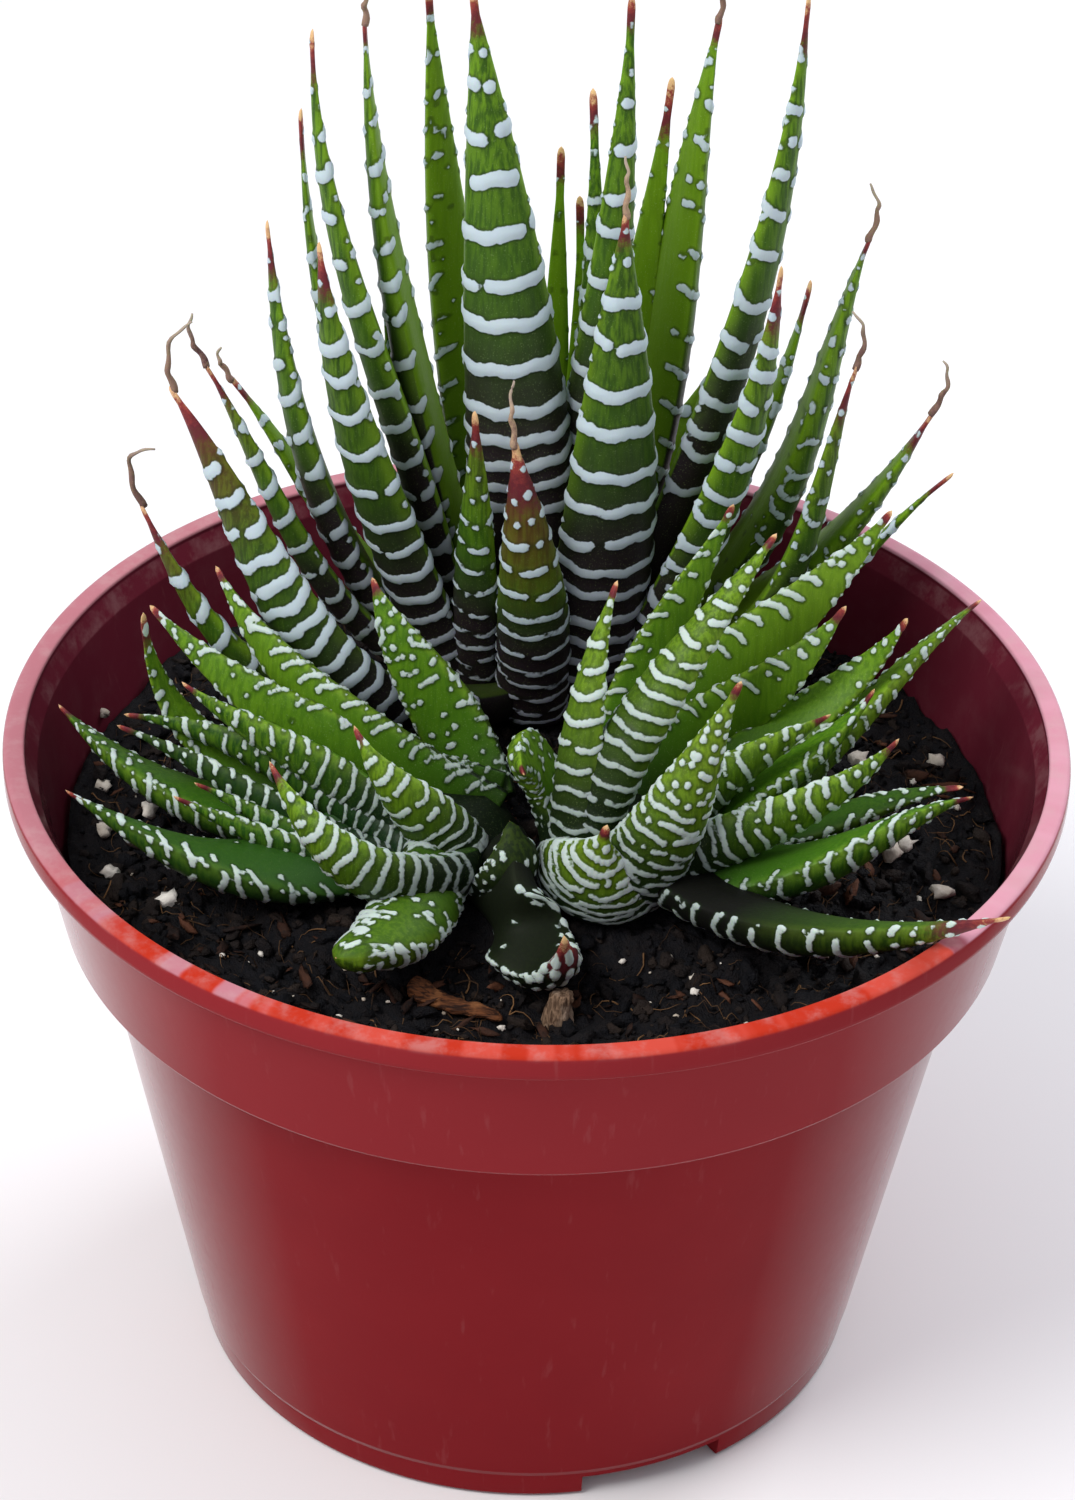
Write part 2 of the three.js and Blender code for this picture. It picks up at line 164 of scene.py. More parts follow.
class Heap:
    """Points, faces and values of many small forms that end up in one piece."""

    def __init__(self):
        self.points, self.faces, self.values, self.count = [], [], {}, 0

    def add(self, points, faces, **values):
        self.points.append(points)
        self.faces += [[corner + self.count for corner in face] for face in faces]
        for key, number in values.items():
            numbers = np.broadcast_to(np.asarray(number, dtype=float), (len(points),))
            self.values.setdefault(key, []).append(numbers)
        self.count += len(points)

    def piece(self, name, material, **extra):
        values = {key: np.concatenate(parts) for key, parts in self.values.items()}
        return make_piece(name, np.concatenate(self.points), self.faces, material, values, **extra)


# %% Vectors, tubes and turned forms
def unit(vectors):
    return vectors / np.maximum(np.linalg.norm(vectors, axis=-1, keepdims=True), 1e-9)


def soft_step(low, high, value):
    share = np.clip((value - low) / (high - low), 0, 1)
    return share * share * (3 - 2 * share)


def closed_tube(rings, sides):
    """Faces over rings of points that follow each other, with both ends closed."""
    ring = np.arange(rings - 1)[:, None] * sides
    side = np.arange(sides)[None, :]
    after = (side + 1) % sides
    quads = np.stack([ring + side, ring + after, ring + sides + after, ring + sides + side], -1)
    last_ring = (rings - 1) * sides
    ends = [list(range(sides - 1, -1, -1)), list(range(last_ring, last_ring + sides))]
    return quads.reshape(-1, 4).tolist() + ends


def turned(profile, sides, middle=(0.0, 0.0)):
    """Points of a profile of (radius, height), turned about an upright axis."""
    turns = np.linspace(0, 2 * math.pi, sides, endpoint=False)
    round_x, round_y = np.cos(turns), np.sin(turns)
    rings = [
        np.stack([middle[0] + r * round_x, middle[1] + r * round_y, np.full(sides, z)], -1)
        for r, z in profile
    ]
    return np.concatenate(rings)


def tube_round(path, radius, sides, side, other):
    """Points of a round tube along a path, with rings in the directions side and other."""
    turns = np.linspace(0, 2 * math.pi, sides, endpoint=False)[None, :, None]
    ring = np.cos(turns) * side[:, None] + np.sin(turns) * other[:, None]
    return (path[:, None] + ring * radius).reshape(-1, 3)


print("a closed tube of 3 rings and 4 sides has", len(closed_tube(3, 4)), "faces")

# %% [markdown]
# ## Helpers for materials
#
# Materials are node trees. They could be linked by hand in the shader editor, but a written
# recipe can be read and changed in one place. A small class has one short call for each kind of
# node. Colours are written as they look on screen, such as 8a2f35, and turned to linear values.


# %% Recipes of nodes
def paint(code):
    """Linear colour from a screen colour such as 8a2f35."""
    parts = [int(code[i : i + 2], 16) / 255 for i in (0, 2, 4)]
    return (*[c / 12.92 if c <= 0.04045 else ((c + 0.055) / 1.055) ** 2.4 for c in parts], 1)


class Recipe:
    """A node tree, with a short call for each kind of node that the finishes are made of."""

    def __init__(self, tree):
        self.tree = tree

    def feed(self, socket, value):
        """Links another node's output to a socket, or sets a number or a colour on it."""
        if isinstance(value, bpy.types.NodeSocket):
            self.tree.links.new(value, socket)
        else:
            socket.default_value = paint(value) if isinstance(value, str) else value

    def node(self, kind, inputs=None, **settings):
        """A new node with its settings, and with a number, a colour or a link on its inputs."""
        made = self.tree.nodes.new(kind)
        for key, value in settings.items():
            setattr(made, key, value)
        for key, value in (inputs or {}).items():
            self.feed(made.inputs[key], value)
        return made

    def reckon(self, operation, *values, clamp=False):
        """A Math node's value."""
        inputs = dict(enumerate(values))
        return self.node("ShaderNodeMath", inputs, operation=operation, use_clamp=clamp).outputs[0]

    def times(self, first, second, clamp=False):
        return self.reckon("MULTIPLY", first, second, clamp=clamp)

    def plus(self, first, second, clamp=False):
        return self.reckon("ADD", first, second, clamp=clamp)

    def scaled(self, value, factor, shift):
        """The value times a factor, plus a shift."""
        return self.reckon("MULTIPLY_ADD", value, factor, shift)

    def blend(self, share, first, second):
        """A colour between two others."""
        inputs = {0: share, 6: first, 7: second}
        return self.node("ShaderNodeMix", inputs, data_type="RGBA").outputs[2]

    def layers(self, colour, *overlays):
        """A colour with others blended over it, one after the other, each by its share."""
        for share, over in overlays:
            colour = self.blend(share, colour, over)
        return colour

    def total(self, value, *parts):
        """A value plus others, each times its share."""
        for part, share in parts:
            value = self.plus(value, self.times(part, share))
        return value

    def between(self, value, low, high, start=0.0, end=1.0, smooth=True):
        """A Map Range node: value from low to high becomes start to end."""
        inputs = {"Value": value, "From Min": low, "From Max": high, "To Min": start, "To Max": end}
        kind = "SMOOTHSTEP" if smooth else "LINEAR"
        return self.node("ShaderNodeMapRange", inputs, interpolation_type=kind).outputs["Result"]

    def carried(self, name):
        """A value that every point of the mesh carries."""
        return self.node("ShaderNodeAttribute", attribute_name=name).outputs["Fac"]

    def place(self):
        return self.node("ShaderNodeTexCoord").outputs["Object"]

    def stretched(self, where, scale, turn=(0, 0, 0)):
        inputs = {"Vector": where, "Rotation": turn, "Scale": scale}
        return self.node("ShaderNodeMapping", inputs).outputs[0]

    def mottle(self, where, scale, detail=3.0, roughness=0.55):
        """A Noise texture's value; scale is in patches per metre."""
        inputs = {"Vector": where, "Scale": scale, "Detail": detail, "Roughness": roughness}
        return self.node("ShaderNodeTexNoise", inputs).outputs["Fac"]

    def use(self, group, **amounts):
        """The outputs of a node group, placed with this material's own amounts."""
        return self.node("ShaderNodeGroup", amounts, node_tree=group).outputs


print("8a2f35 is", [round(part, 3) for part in paint("8a2f35")])


# %% Start and finish of a material
def new_material(name, **constants):
    """A material, its recipe, and its Principled shader with its plain numbers on its sockets."""
    material = bpy.data.materials.new(name)
    material.use_nodes = True
    shader = material.node_tree.nodes["Principled BSDF"]
    for key, value in constants.items():
        shader.inputs[key.replace("_", " ")].default_value = value
    return material, Recipe(material.node_tree), shader


def finish_material(recipe, shader, colour, roughness, height, depth, strength=1.0):
    """Links the colour, the roughness and a bump of a depth in mm."""
    relief = {"Height": height, "Distance": depth * mm, "Strength": strength}
    bump = recipe.node("ShaderNodeBump", relief).outputs["Normal"]
    for key, value in (("Base Color", colour), ("Roughness", roughness), ("Normal", bump)):
        recipe.feed(shader.inputs[key], value)
    print("a finish of", len(recipe.tree.nodes), "nodes")


def new_group(name, inputs, outputs):
    """An empty node group of numbers: its recipe, what it is given, and what it puts out."""
    group = bpy.data.node_groups.new(name, "ShaderNodeTree")
    group.interface.new_socket("Vector", in_out="INPUT", socket_type="NodeSocketVector")
    for key, value in inputs.items():
        socket = group.interface.new_socket(key, in_out="INPUT", socket_type="NodeSocketFloat")
        socket.default_value = value
    for key in outputs:
        group.interface.new_socket(key, in_out="OUTPUT", socket_type="NodeSocketFloat")
    given = group.nodes.new("NodeGroupInput").outputs
    return Recipe(group), given, group.nodes.new("NodeGroupOutput").inputs


# %% [markdown]
# ## Shared effects
#
# Fine grain breaks up the colour and the relief of every surface a little, so it is a node group
# that is built once, and each material places it with a scale of its own. Settled dust lies
# where a surface looks up. Only the pot shows dust here, but as a group it stays one clear step.

# %% Fine grain group
recipe, given, result = new_group("fine grain", {"Scale": 900.0}, ("Patches", "Specks", "Relief"))
coarse = recipe.mottle(given["Vector"], recipe.times(given["Scale"], 0.12), 3)
middle_grain = recipe.mottle(given["Vector"], given["Scale"], 4, 0.6)
tiny = recipe.mottle(given["Vector"], recipe.times(given["Scale"], 5.0), 2)
recipe.feed(result["Patches"], coarse)
recipe.feed(result["Specks"], recipe.between(tiny, 0.62, 0.72))
recipe.feed(result["Relief"], recipe.total(recipe.scaled(middle_grain, 0.7, 0.0), (tiny, 0.3)))
fine_grain = recipe.tree
print("group", fine_grain.name, "with", len(fine_grain.nodes), "nodes")

# %% Settled dust group
recipe, given, result = new_group("settled dust", {"Amount": 0.3, "Scale": 300.0}, ("Mask",))
facing = recipe.node("ShaderNodeNewGeometry").outputs["Normal"]
upward = recipe.node("ShaderNodeSeparateXYZ", {0: facing}).outputs["Z"]
clumps = recipe.mottle(given["Vector"], given["Scale"], 5, 0.65)
dusty = recipe.times(recipe.between(upward, 0.1, 0.95), recipe.between(clumps, 0.42, 0.7))
recipe.feed(result["Mask"], recipe.times(dusty, given["Amount"], clamp=True))
settled_dust = recipe.tree
print("group", settled_dust.name, "with", len(settled_dust.nodes), "nodes")

# %% [markdown]
# ## Leaf sizes
#
# Each leaf is a row of real sizes, the same as in the solids: its place, how far its root is
# from the middle of the crown, the way its inner face looks, where its tip is, its width, its
# bows and its sway, and the length of the dried thread at its tip. Leaves could be scattered by
# chance, but this plant is known by how its leaves stand, so each one is listed.

# %% Crowns and leaf rows
soil_level = 62.0
root_lift = 1.7
lean_lift = 0.45
crowns = {
    "back": {"x": 0, "y": 26, "radius": 12.5},
    "left": {"x": -8.5, "y": -9, "radius": 7.6},
    "right": {"x": 9, "y": -10, "radius": 7.8},
}
leaf_rows = {}
leaf_rows["back"] = [
    ["tallest", 7, 85, -8, -2, 80.5, 11, 0, 1, -1, 0],
    ["front right", 7, 120, 7.5, -8, 60, 11, 2.5, 0.5, 0, 6],
    ["left tall", 6, -8, -18.5, 0, 76.5, 7, 0, 1.5, 0, 4.5],
    ["back left tall", 5, -60, -12.5, 5, 77.5, 6.5, 2.5, 1.5, 0, 0],
    ["left slim", 8, 15, -23.5, -2, 76, 6.5, -1.5, 2.5, 0, 0],
    ["left slim low", 8, -10, -25, 2, 65.5, 4, 2.5, 2.5, 0, 0],
    ["front left", 10, 30, -22.5, -12, 58, 9.5, 0, 1.5, 0, 0],
    ["left outer", 11, 15, -28.5, 1, 53.5, 6.5, 3, 2, 0, 0],
    ["left outer low", 10.5, 28, -35, -4, 40, 5.5, 3.5, 0.5, 0, 6],
    ["left back low", 9, -15, -33, 2, 35, 4, 2.5, 0, 0, 3.5],
    ["lower left", 11, 62, -37.5, -14, 42.5, 9, 9, 2, -1.5, 6.5],
    ["lowest left", 10, 38, -41, -13, 28.5, 7, 6.5, 4.5, -1, 7],
    ["inner right", 3, 105, 7.5, 1, 79, 6, 1, 3, 0, 0],
    ["back right tall", 6, -135, 16.5, 7, 74.5, 7.5, 3, 0, 0, 4.5],
    ["right tall", 7, 155, 24.5, -2, 81, 8, 1, 2.5, 0, 0],
    ["inner back", 4, -95, 1, 7, 59.5, 3.5, 2, 1, 0, 0],
    ["inner middle", 2, 100, 4, 4, 67.5, 4, 2.5, 3, -1, 0],
    ["inner small", 3, -95, 3, 5, 55, 2.5, 2.5, 1.5, 1, 0],
    ["back right slim", 5, -115, 12, 8, 67, 5, 2, 1.5, 0, 0],
    ["front right outer", 9.5, 147, 23, -9, 55, 8, 1, 2, 0, 0],
    ["right outer", 8.5, 180, 32.5, 1, 53.5, 8, 5, 1, 0, 6],
    ["right outer front", 10.5, 158, 31.5, -6, 42.5, 6, 6, 1.5, 0.5, 6],
    ["right low", 10, 176, 40, -4, 36.5, 6.5, 3, 2, 0, 6],
    ["right lowest", 10, 160, 41.5, -12, 33.5, 4, 4, 0.5, 0, 0],
    ["right back small", 8, -160, 27, 5, 46, 4, 2.5, 2, 0, 0],
    ["front young left", 10, 50, -7, -14, 40.5, 5.5, 0.5, 0, -0.5, 0],
    ["front young", 10, 86, -3, -16, 38.5, 7.6, 0.5, 1, -1, 6],
    ["left dark small", 6, -30, -16.5, 1, 47, 2.5, 2.5, 2, 0, 0],
    ["behind left", 9, -65, -16, 16, 33, 8, 3, 1, 0, 0],
    ["behind", 9, -85, -5, 20, 32, 8, 3, 1, 0, 0],
    ["behind middle", 8, -100, 6, 20, 28, 7, 3, 1, 0, 0],
    ["behind right", 9, -120, 19, 17, 30, 8, 3, 1, 0, 0],
]
leaf_rows["left"] = [
    ["upper", 4.5, -155, -24.5, 17, 24, 6.8, -1.5, -3, -1, 0],
    ["upper right", 6.5, -118, -8.5, 14, 25, 7.5, 2, -1.5, 0, 0],
    ["far left", 6.5, -133, -31, 14, 21, 6.5, -2, -3, -1.5, 0],
    ["far left red", 6.5, -50, -31, 8, 24, 5, 2.5, 6.5, -5, 0],
    ["middle left", 5, 45, -27, 4, 18.5, 7.5, -2, 0, 0, 0],
    ["low left", 6.5, 60, -33.5, 9, 11, 6, -1.5, -2, -0.5, 0],
    ["low left dark", 6.5, 70, -34, 7, 11, 5, 1, -0.5, 0, 0],
    ["left over soil", 6.5, -8, -40.5, 12, 10, 8.5, 2.2, 2, -2.5, 0],
    ["left near soil", 5, 12, -38, -4.5, 11, 9, 3, 1, -5, 0],
    ["short left", 6.5, 40, -25.5, -2, 10.5, 5, 1, 0, 0, 0],
    ["short left front", 6.5, 45, -27.5, -3, 9.5, 5, 1, 0.5, 0, 0],
    ["front fat", 6.5, 90, -17.5, -8, 17.5, 8.8, 3.5, 3.5, -1, 0],
    ["front banded", 5.5, 100, -9.5, -3, 18.5, 7.8, -1, 2.5, -1, 0],
    ["front blunt", 2, 55, -10.3, -23.4, 5.4, 7.8, -0.3, 0.2, -3.2, 0],
    ["end on", 6.8, 122, 6, -8, 11, 6.5, 1, 1.5, 0, 0],
    ["red tip", 6.8, 129, 11.5, -22.4, 8, 8.4, -1, 5.8, 2.3, 0],
]
leaf_rows["right"] = [
    ["left upright", 6, 40, -1.5, 6, 31, 6.8, 0.5, 1, 0, 0],
    ["back left", 5, -64, 10, 16, 34, 5.8, 4, 0.5, 0, 0],
    ["front upright", 5, 40, 14, 9, 35, 6.2, 3.5, 1, 0, 0],
    ["back wide", 6.5, -78, 26, 18, 32.5, 7.6, 5.5, -3, 0, 0],
    ["back right", 6.5, -82, 21.5, 11, 25.5, 7, 5, -3.5, 1, 0],
    ["right edge on", 6.5, -140, 27.5, 9, 25.5, 6, -0.5, 3, -0.5, 0],
    ["right far", 6.5, 180, 35.5, 16, 23.5, 6, 1.5, -0.5, 0, 0],
    ["front dense", 6, 85, 10.5, -6, 27.5, 9.4, 2, 0.5, 0, 0],
    ["right dotted", 5.5, 118, 20, 2, 18.5, 7, -2.5, -1, 0, 0],
    ["right inner", 6, 180, 24.5, 6, 19, 6.5, -0.5, 1, 0, 0],
    ["right banded", 6.5, 108, 26.5, -2, 18.5, 7.5, -0.5, 1.5, 0, 0],
    ["low right", 5, 160, 34, -4.5, 13.5, 8.6, 3.5, -0.5, 3, 0],
    ["low right dark", 6.5, 180, 33.5, 0, 11.5, 5, 1.5, -0.5, -0.5, 0],
    ["over the lip", 6.7, 127, 35.5, -28.5, 16.8, 8, 2.6, 1.5, 1, 0],
    ["bent over", 6, -15, -10.2, -4.5, 14.8, 6.5, 0, 1, 5, 0],
    ["front horn", 6.5, 66, -2, -11.4, 14, 13, 0, 0.8, 0, 0],
]
own_tapers = {
    "front fat": (1, 0.9, 0.9),
    "front banded": (1, 1, 0.9),
    "left upright": (0.85, 1, 0.9),
    "front dense": (1, 1.15, 0.9),
    "front blunt": (0.35, 0.9, 5.5),
    "end on": (0.5, 0.9, 2.6),
    "red tip": (0.5, 0.9, 1.6),
    "bent over": (0.5, 1, 1.6),
    "front horn": (0.95, 1.75, 1.1),
}
print({name: len(rows) for name, rows in leaf_rows.items()}, "leaves")

# %% [markdown]
# ## The form of a leaf
#
# A real leaf is a stiff, fleshy blade: flat on the inner side, keeled on the outer side, and
# drawn out to a point. A spine curve with a section at every step gives that form, and because
# the same few formulas shape the solids, the fine leaf lies in the same place as the plain one.

# %% Spine of a leaf
bow_scale = 6.75
upward_share = 0.5


def leaf_spine(crown, row, t):
    """Points of the spine in mm, with the directions along, across and inwards at each."""
    _, out, faces, right, back, up, width, bow, curl, sway, _ = row
    compass = math.radians(faces)
    inward = np.array([math.cos(compass), math.sin(compass), 0.0])
    middle = np.array([crown["x"], crown["y"], soil_level])
    tip = middle + [right, back, up]
    root = middle - inward * out
    span = tip - root
    lean = math.hypot(span[0], span[1]) / np.linalg.norm(span)
    root[2] += root_lift + lean_lift * width * lean
    chord = tip - root
    along = unit(chord)
    facing_up = inward + [0, 0, upward_share]
    inner = unit(facing_up - along * (facing_up @ along))
    side = np.cross(along, inner)
    low = bow_scale * t * (1 - t) ** 2
    high = bow_scale * t**2 * (1 - t)
    spine = root + np.outer(t, chord) - np.outer(low * bow + high * curl, inner)
    spine += np.outer(4 * t * (1 - t) * sway, side)
    direction = unit(np.gradient(spine, t, axis=0))
    normal = unit(facing_up - direction * (direction @ facing_up)[:, None])
    return spine, direction, np.cross(direction, normal), normal, np.linalg.norm(chord)


tallest_length = leaf_spine(crowns["back"], leaf_rows["back"][0], np.linspace(0, 1, 5))[4]
print("the tallest leaf is", round(float(tallest_length), 1), "mm long")

# %% Width and section of a leaf
outside_depth = 0.40
inside_depth = 0.12
usual_taper = (0.72, 0.95, 0.85)
thin_end_rounding = 1.7
blunt_end = 2
blunt_end_rounding = 0.75
least_end = 0.0009


def tip_rounding(row):
    end = own_tapers.get(row[0], usual_taper)[2]
    return end * (thin_end_rounding if end < blunt_end else blunt_end_rounding)


def leaf_width(row, length, t):
    """Width in mm at each share of the length, rounded off at the very end."""
    full_at, power, end = own_tapers.get(row[0], usual_taper)
    from_tip = np.minimum(1, (1 - t) / full_at)
    wide = np.maximum(end, row[6] * np.sin(from_tip * math.pi / 2) ** power)
    left = np.clip((1 - t) * length / tip_rounding(row), 0, 1)
    return wide * np.sqrt(np.clip(1 - (1 - left) ** 2, least_end, 1))


def half_outline(depth, steps):
    """Half an ellipse of width 1: its angles, its points, and how far each is from the middle."""
    angle = np.linspace(-math.pi / 2, math.pi / 2, steps + 1)
    points = np.stack([np.sin(angle) / 2, depth * np.cos(angle)], -1)
    lengths = np.concatenate([[0], np.cumsum(np.linalg.norm(np.diff(points, axis=0), axis=1))])
    return angle, points, lengths - lengths[-1] / 2


print("the outer face of a leaf 1 mm wide is", round(2 * half_outline(outside_depth, 20)[2][-1], 2), "mm")

# %% [markdown]
# ## How each leaf is marked
#
# No two leaves are marked alike, and a painted mask for 64 leaves would take far too long. So a
# leaf's marks are written as sizes in mm: the pitch and the radius of its bands, the length of an
# unbroken dash near the root, how far a band runs over both edges on to the inner face, the
# spacing of the warts along an edge, the radius of a dot, and the length of the coloured tip. The
# tallest leaves have a place for every band. The others are shares: how many dots the inner face
# has, how red the tip is (heat), its flush of brown, how much painted shade darkens the green and
# how fast that shade fades towards the tip, how warm it is, or cool below zero, where the marks
# start, and how plump the inner face is. What a leaf doesn't set, it takes from its rosette or
# from the plain look.

# %% Marks of the rosettes
plain_look = {
    "dots": 0.0, "flush": 0.0, "dark": 0.0, "warm": 0.0, "start": 0.0, "fade": 0.0,
    "plump": inside_depth,
}
band_looks = {
    "back": dict(pitch=4.4, radius=0.62, dash=60, edge=4.5, over=(0.7, 0.7), dot=0.26, tip=3.8, heat=0.6),
    "left": dict(pitch=2.0, radius=0.33, dash=22, edge=1.25, over=(0.6, 0.6), dot=0.32, dots=0.15,
        tip=1.7, heat=0.85),
    "right": dict(pitch=2.0, radius=0.34, dash=22, edge=1.25, over=(0.6, 0.6), dot=0.32, dots=0.1,
        tip=1.7, heat=0.85),
}
print("bands lie", {name: look["pitch"] for name, look in band_looks.items()}, "mm apart")

# %% Marks of single leaves
# A leaf's dark and fade set its painted shade, given to leaves that sit low or deep among the others.
leaf_looks = {
    "tallest": dict(radius=0.72, tip=4.0, heat=0.9, edge=7.0, dash=110, bands=[24.2, 26.9, 29.4, 32.3,
        35.5, 40.2, 45.0, 49.2, 54.7, 60.3, 64.7, 69.3, 73.0]),
    "front right": dict(dark=0.2, radius=0.68, tip=3.2, heat=0.5, edge=7.0, dash=110, bands=[6.0, 8.4,
        11.0, 13.7, 16.5, 19.7, 23.3, 26.8, 30.4, 35.2, 39.3, 44.0, 48.7, 53.0, 56.4]),
    "right tall": dict(radius=0.64, tip=5.5, heat=0.9, dash=34, bands=[27.0, 30.2, 33.4, 36.7, 40.3, 44.3,
        48.0, 53.0, 57.6, 62.1, 65.6, 68.5, 73.7]),
    "front left": dict(dark=0.25, radius=0.64, tip=5.5, heat=0.9, dash=90, edge=6.0, bands=[6.0, 8.8,
        11.6, 14.5, 17.6, 21.0, 24.7, 28.8, 33.6, 38.0, 42.4, 45.8, 49.7, 53.0]),
    "lower left": dict(dark=0.45, fade=0.8, radius=0.58, tip=6.0, heat=1.0, flush=0.6, dash=60, edge=7.0,
        bands=[4.0, 6.4, 8.8, 11.2, 13.5, 15.8, 18.0, 20.3, 22.6, 24.8, 27.1, 29.5, 32.1, 34.9, 37.8,
        41.3]),
    "left tall": dict(tip=3.0, heat=0.6, over=(0.7, 2.6)),
    "left slim": dict(pitch=4.6, tip=5.0, heat=0.35),
    "left slim low": dict(tip=5.0, heat=0.8),
    "left outer": dict(pitch=3.8, tip=5.5, heat=0.45),
    "left outer low": dict(pitch=3.6, radius=0.5, tip=5.0, heat=0.7, flush=0.3),
    "lowest left": dict(pitch=3.4, radius=0.5, tip=4.0, heat=0.5, flush=0.5, edge=7.0),
    "back left tall": dict(dots=0.35, over=(1.3, 1.3), tip=3.5, heat=0.6, radius=0.38, dash=12),
    "inner back": dict(tip=4.0, heat=0.3, dash=0.1, radius=0.2, edge=30),
    "inner right": dict(tip=3.0, heat=1.0, radius=0.64),
    "inner small": dict(dash=0.1, radius=0.2, edge=30),
    "back right slim": dict(tip=6.5, heat=0.9, over=(0.2, 0.2), radius=0.3),
    "back right tall": dict(tip=3.0, heat=0.6, over=(0.3, 2.0), dash=30, radius=0.5),
    "right back small": dict(tip=4.5, heat=0.5),
    "front right outer": dict(tip=6.5, heat=1.0, pitch=3.4, flush=0.1),
    "right outer": dict(pitch=3.2, dash=9, radius=0.46, over=(1.2, 0.8), tip=2.5, heat=0.3, dots=0.2),
    "right outer front": dict(pitch=3.0, dash=6, radius=0.4, tip=5.5, heat=1.0, flush=0.2),
    "right low": dict(pitch=2.8, dash=4, radius=0.34, tip=5.0, heat=1.0, dots=0.2),
    "front young": dict(pitch=2.9, radius=0.46, dash=18, tip=7.0, heat=0.6, flush=0.7),
    "front young left": dict(pitch=3.0, radius=0.42, dash=9, tip=4.5, heat=0.8, flush=0.2),
    "upper": dict(dots=0.0, over=(0.1, 1.9), pitch=2.3, dash=60, radius=0.37, warm=0.35),
    "upper right": dict(dots=0.7, dot=0.37, pitch=2.2, over=(0.2, 0.9), edge=1.5, warm=0.1),
    "far left": dict(dots=0.1, over=(0.3, 1.2), pitch=2.1, warm=0.2),
    "far left red": dict(tip=2.6, heat=1.0, dots=0.0, warm=0.2),
    "left near soil": dict(pitch=2.3, dots=0.12, over=(1.3, 0.2), dash=30, radius=0.36, dark=0.2,
        warm=-0.6),
    "left over soil": dict(dots=0.3, over=(0.8, 0.3), dark=0.1, warm=-0.35),
    "middle left": dict(dash=18, warm=-0.1),
    "low left": dict(dark=0.15, warm=-0.4),
    "low left dark": dict(dark=0.5, warm=-0.7),
    "front fat": dict(pitch=1.7, radius=0.36, dash=26, edge=1.3, warm=0.3),
    "front banded": dict(pitch=1.75, radius=0.35, dash=60, edge=1.6, warm=0.45),
    "front blunt": dict(pitch=1.4, radius=0.36, dash=60, tip=0.0, dots=0.8, dot=0.4, over=(0.2, 3.2),
        edge=0.95, dark=0.35, warm=0.2, plump=0.3),
    "end on": dict(pitch=1.2, radius=0.34, dash=1.6, tip=0.0, dark=0.85, dots=0.9, dot=0.36, edge=0.9,
        start=0.1),
    "red tip": dict(pitch=1.3, radius=0.5, dash=1.0, tip=2.4, heat=1.0, dots=0.25, edge=1.0, dark=0.97,
        over=(0.2, 0.2), start=0.36),
    "left upright": dict(pitch=2.3, radius=0.42, dash=30, over=(0.7, 1.2), dots=0.0, warm=0.5),
    "back left": dict(pitch=2.4, over=(1.4, 0.4), dots=0.0, dash=14, warm=0.2),
    "front upright": dict(pitch=2.1, radius=0.4, dash=30, dots=0.0, warm=0.4),
    "back wide": dict(pitch=2.5, radius=0.38, over=(2.2, 0.3), dots=0.0, dash=60, warm=0.6),
    "back right": dict(pitch=2.3, over=(1.8, 0.3), dots=0.0, dash=40, warm=0.35),
    "right edge on": dict(dash=14, dots=0.0, warm=0.3),
    "right far": dict(pitch=2.3, over=(1.4, 0.4), dots=0.0, warm=0.5),
    "front dense": dict(pitch=1.45, radius=0.38, dash=7, edge=1.2, warm=0.7),
    "right banded": dict(pitch=1.9, radius=0.39, dash=30, warm=0.2),
    "low right": dict(pitch=2.2, dots=0.06, over=(0.2, 1.3), edge=1.5, warm=-0.25),
    "low right dark": dict(dark=0.4, dots=0.0, warm=-0.4),
    "over the lip": dict(pitch=3.1, radius=0.42, dash=9, tip=6.5, heat=1.0, dark=1.0, fade=1.2, over=(0.3,
        0.3), edge=2.4, dots=0.0),
    "bent over": dict(pitch=1.7, radius=0.34, dash=1.5, dots=0.7, dot=0.36, tip=0.7, heat=0.5, warm=0.3),
    "short left": dict(warm=-0.5),
    "short left front": dict(warm=-0.4),
    "right dotted": dict(warm=0.3),
    "front horn": dict(pitch=1.15, radius=0.37, dash=40, tip=1.4, heat=0.6, edge=0.9, warm=0.8),
}
print(len(leaf_looks), "leaves have marks of their own")

# %% [markdown]
# ## White bands
#
# The bands of the real leaf are small pale warts that have grown together into low ridges. They
# are wavy, hook up at the leaf's edges, and break up into dashes and dots near the tip. They
# could be painted with a wave texture, but that would be too even. Here each band is a chain of
# beads, each with its distance from the root, its place across the face, and its radius.

# %% Bands over the outer face
bead_step = 0.5
neck = 0.80
bare_end = 1.5
crowded_part = 0.45


def band_places(look, length, rng):
    """Where the bands lie, in mm from the root: listed, or closer together near the root."""
    if "bands" in look:
        return look["bands"]
    places = [1.0]
    while places[-1] < length - bare_end:
        crowd = 0.58 + 0.42 * min(1.0, places[-1] / length / crowded_part)
        places.append(places[-1] + look["pitch"] * crowd * rng.uniform(0.86, 1.14))
    return places[:-1]


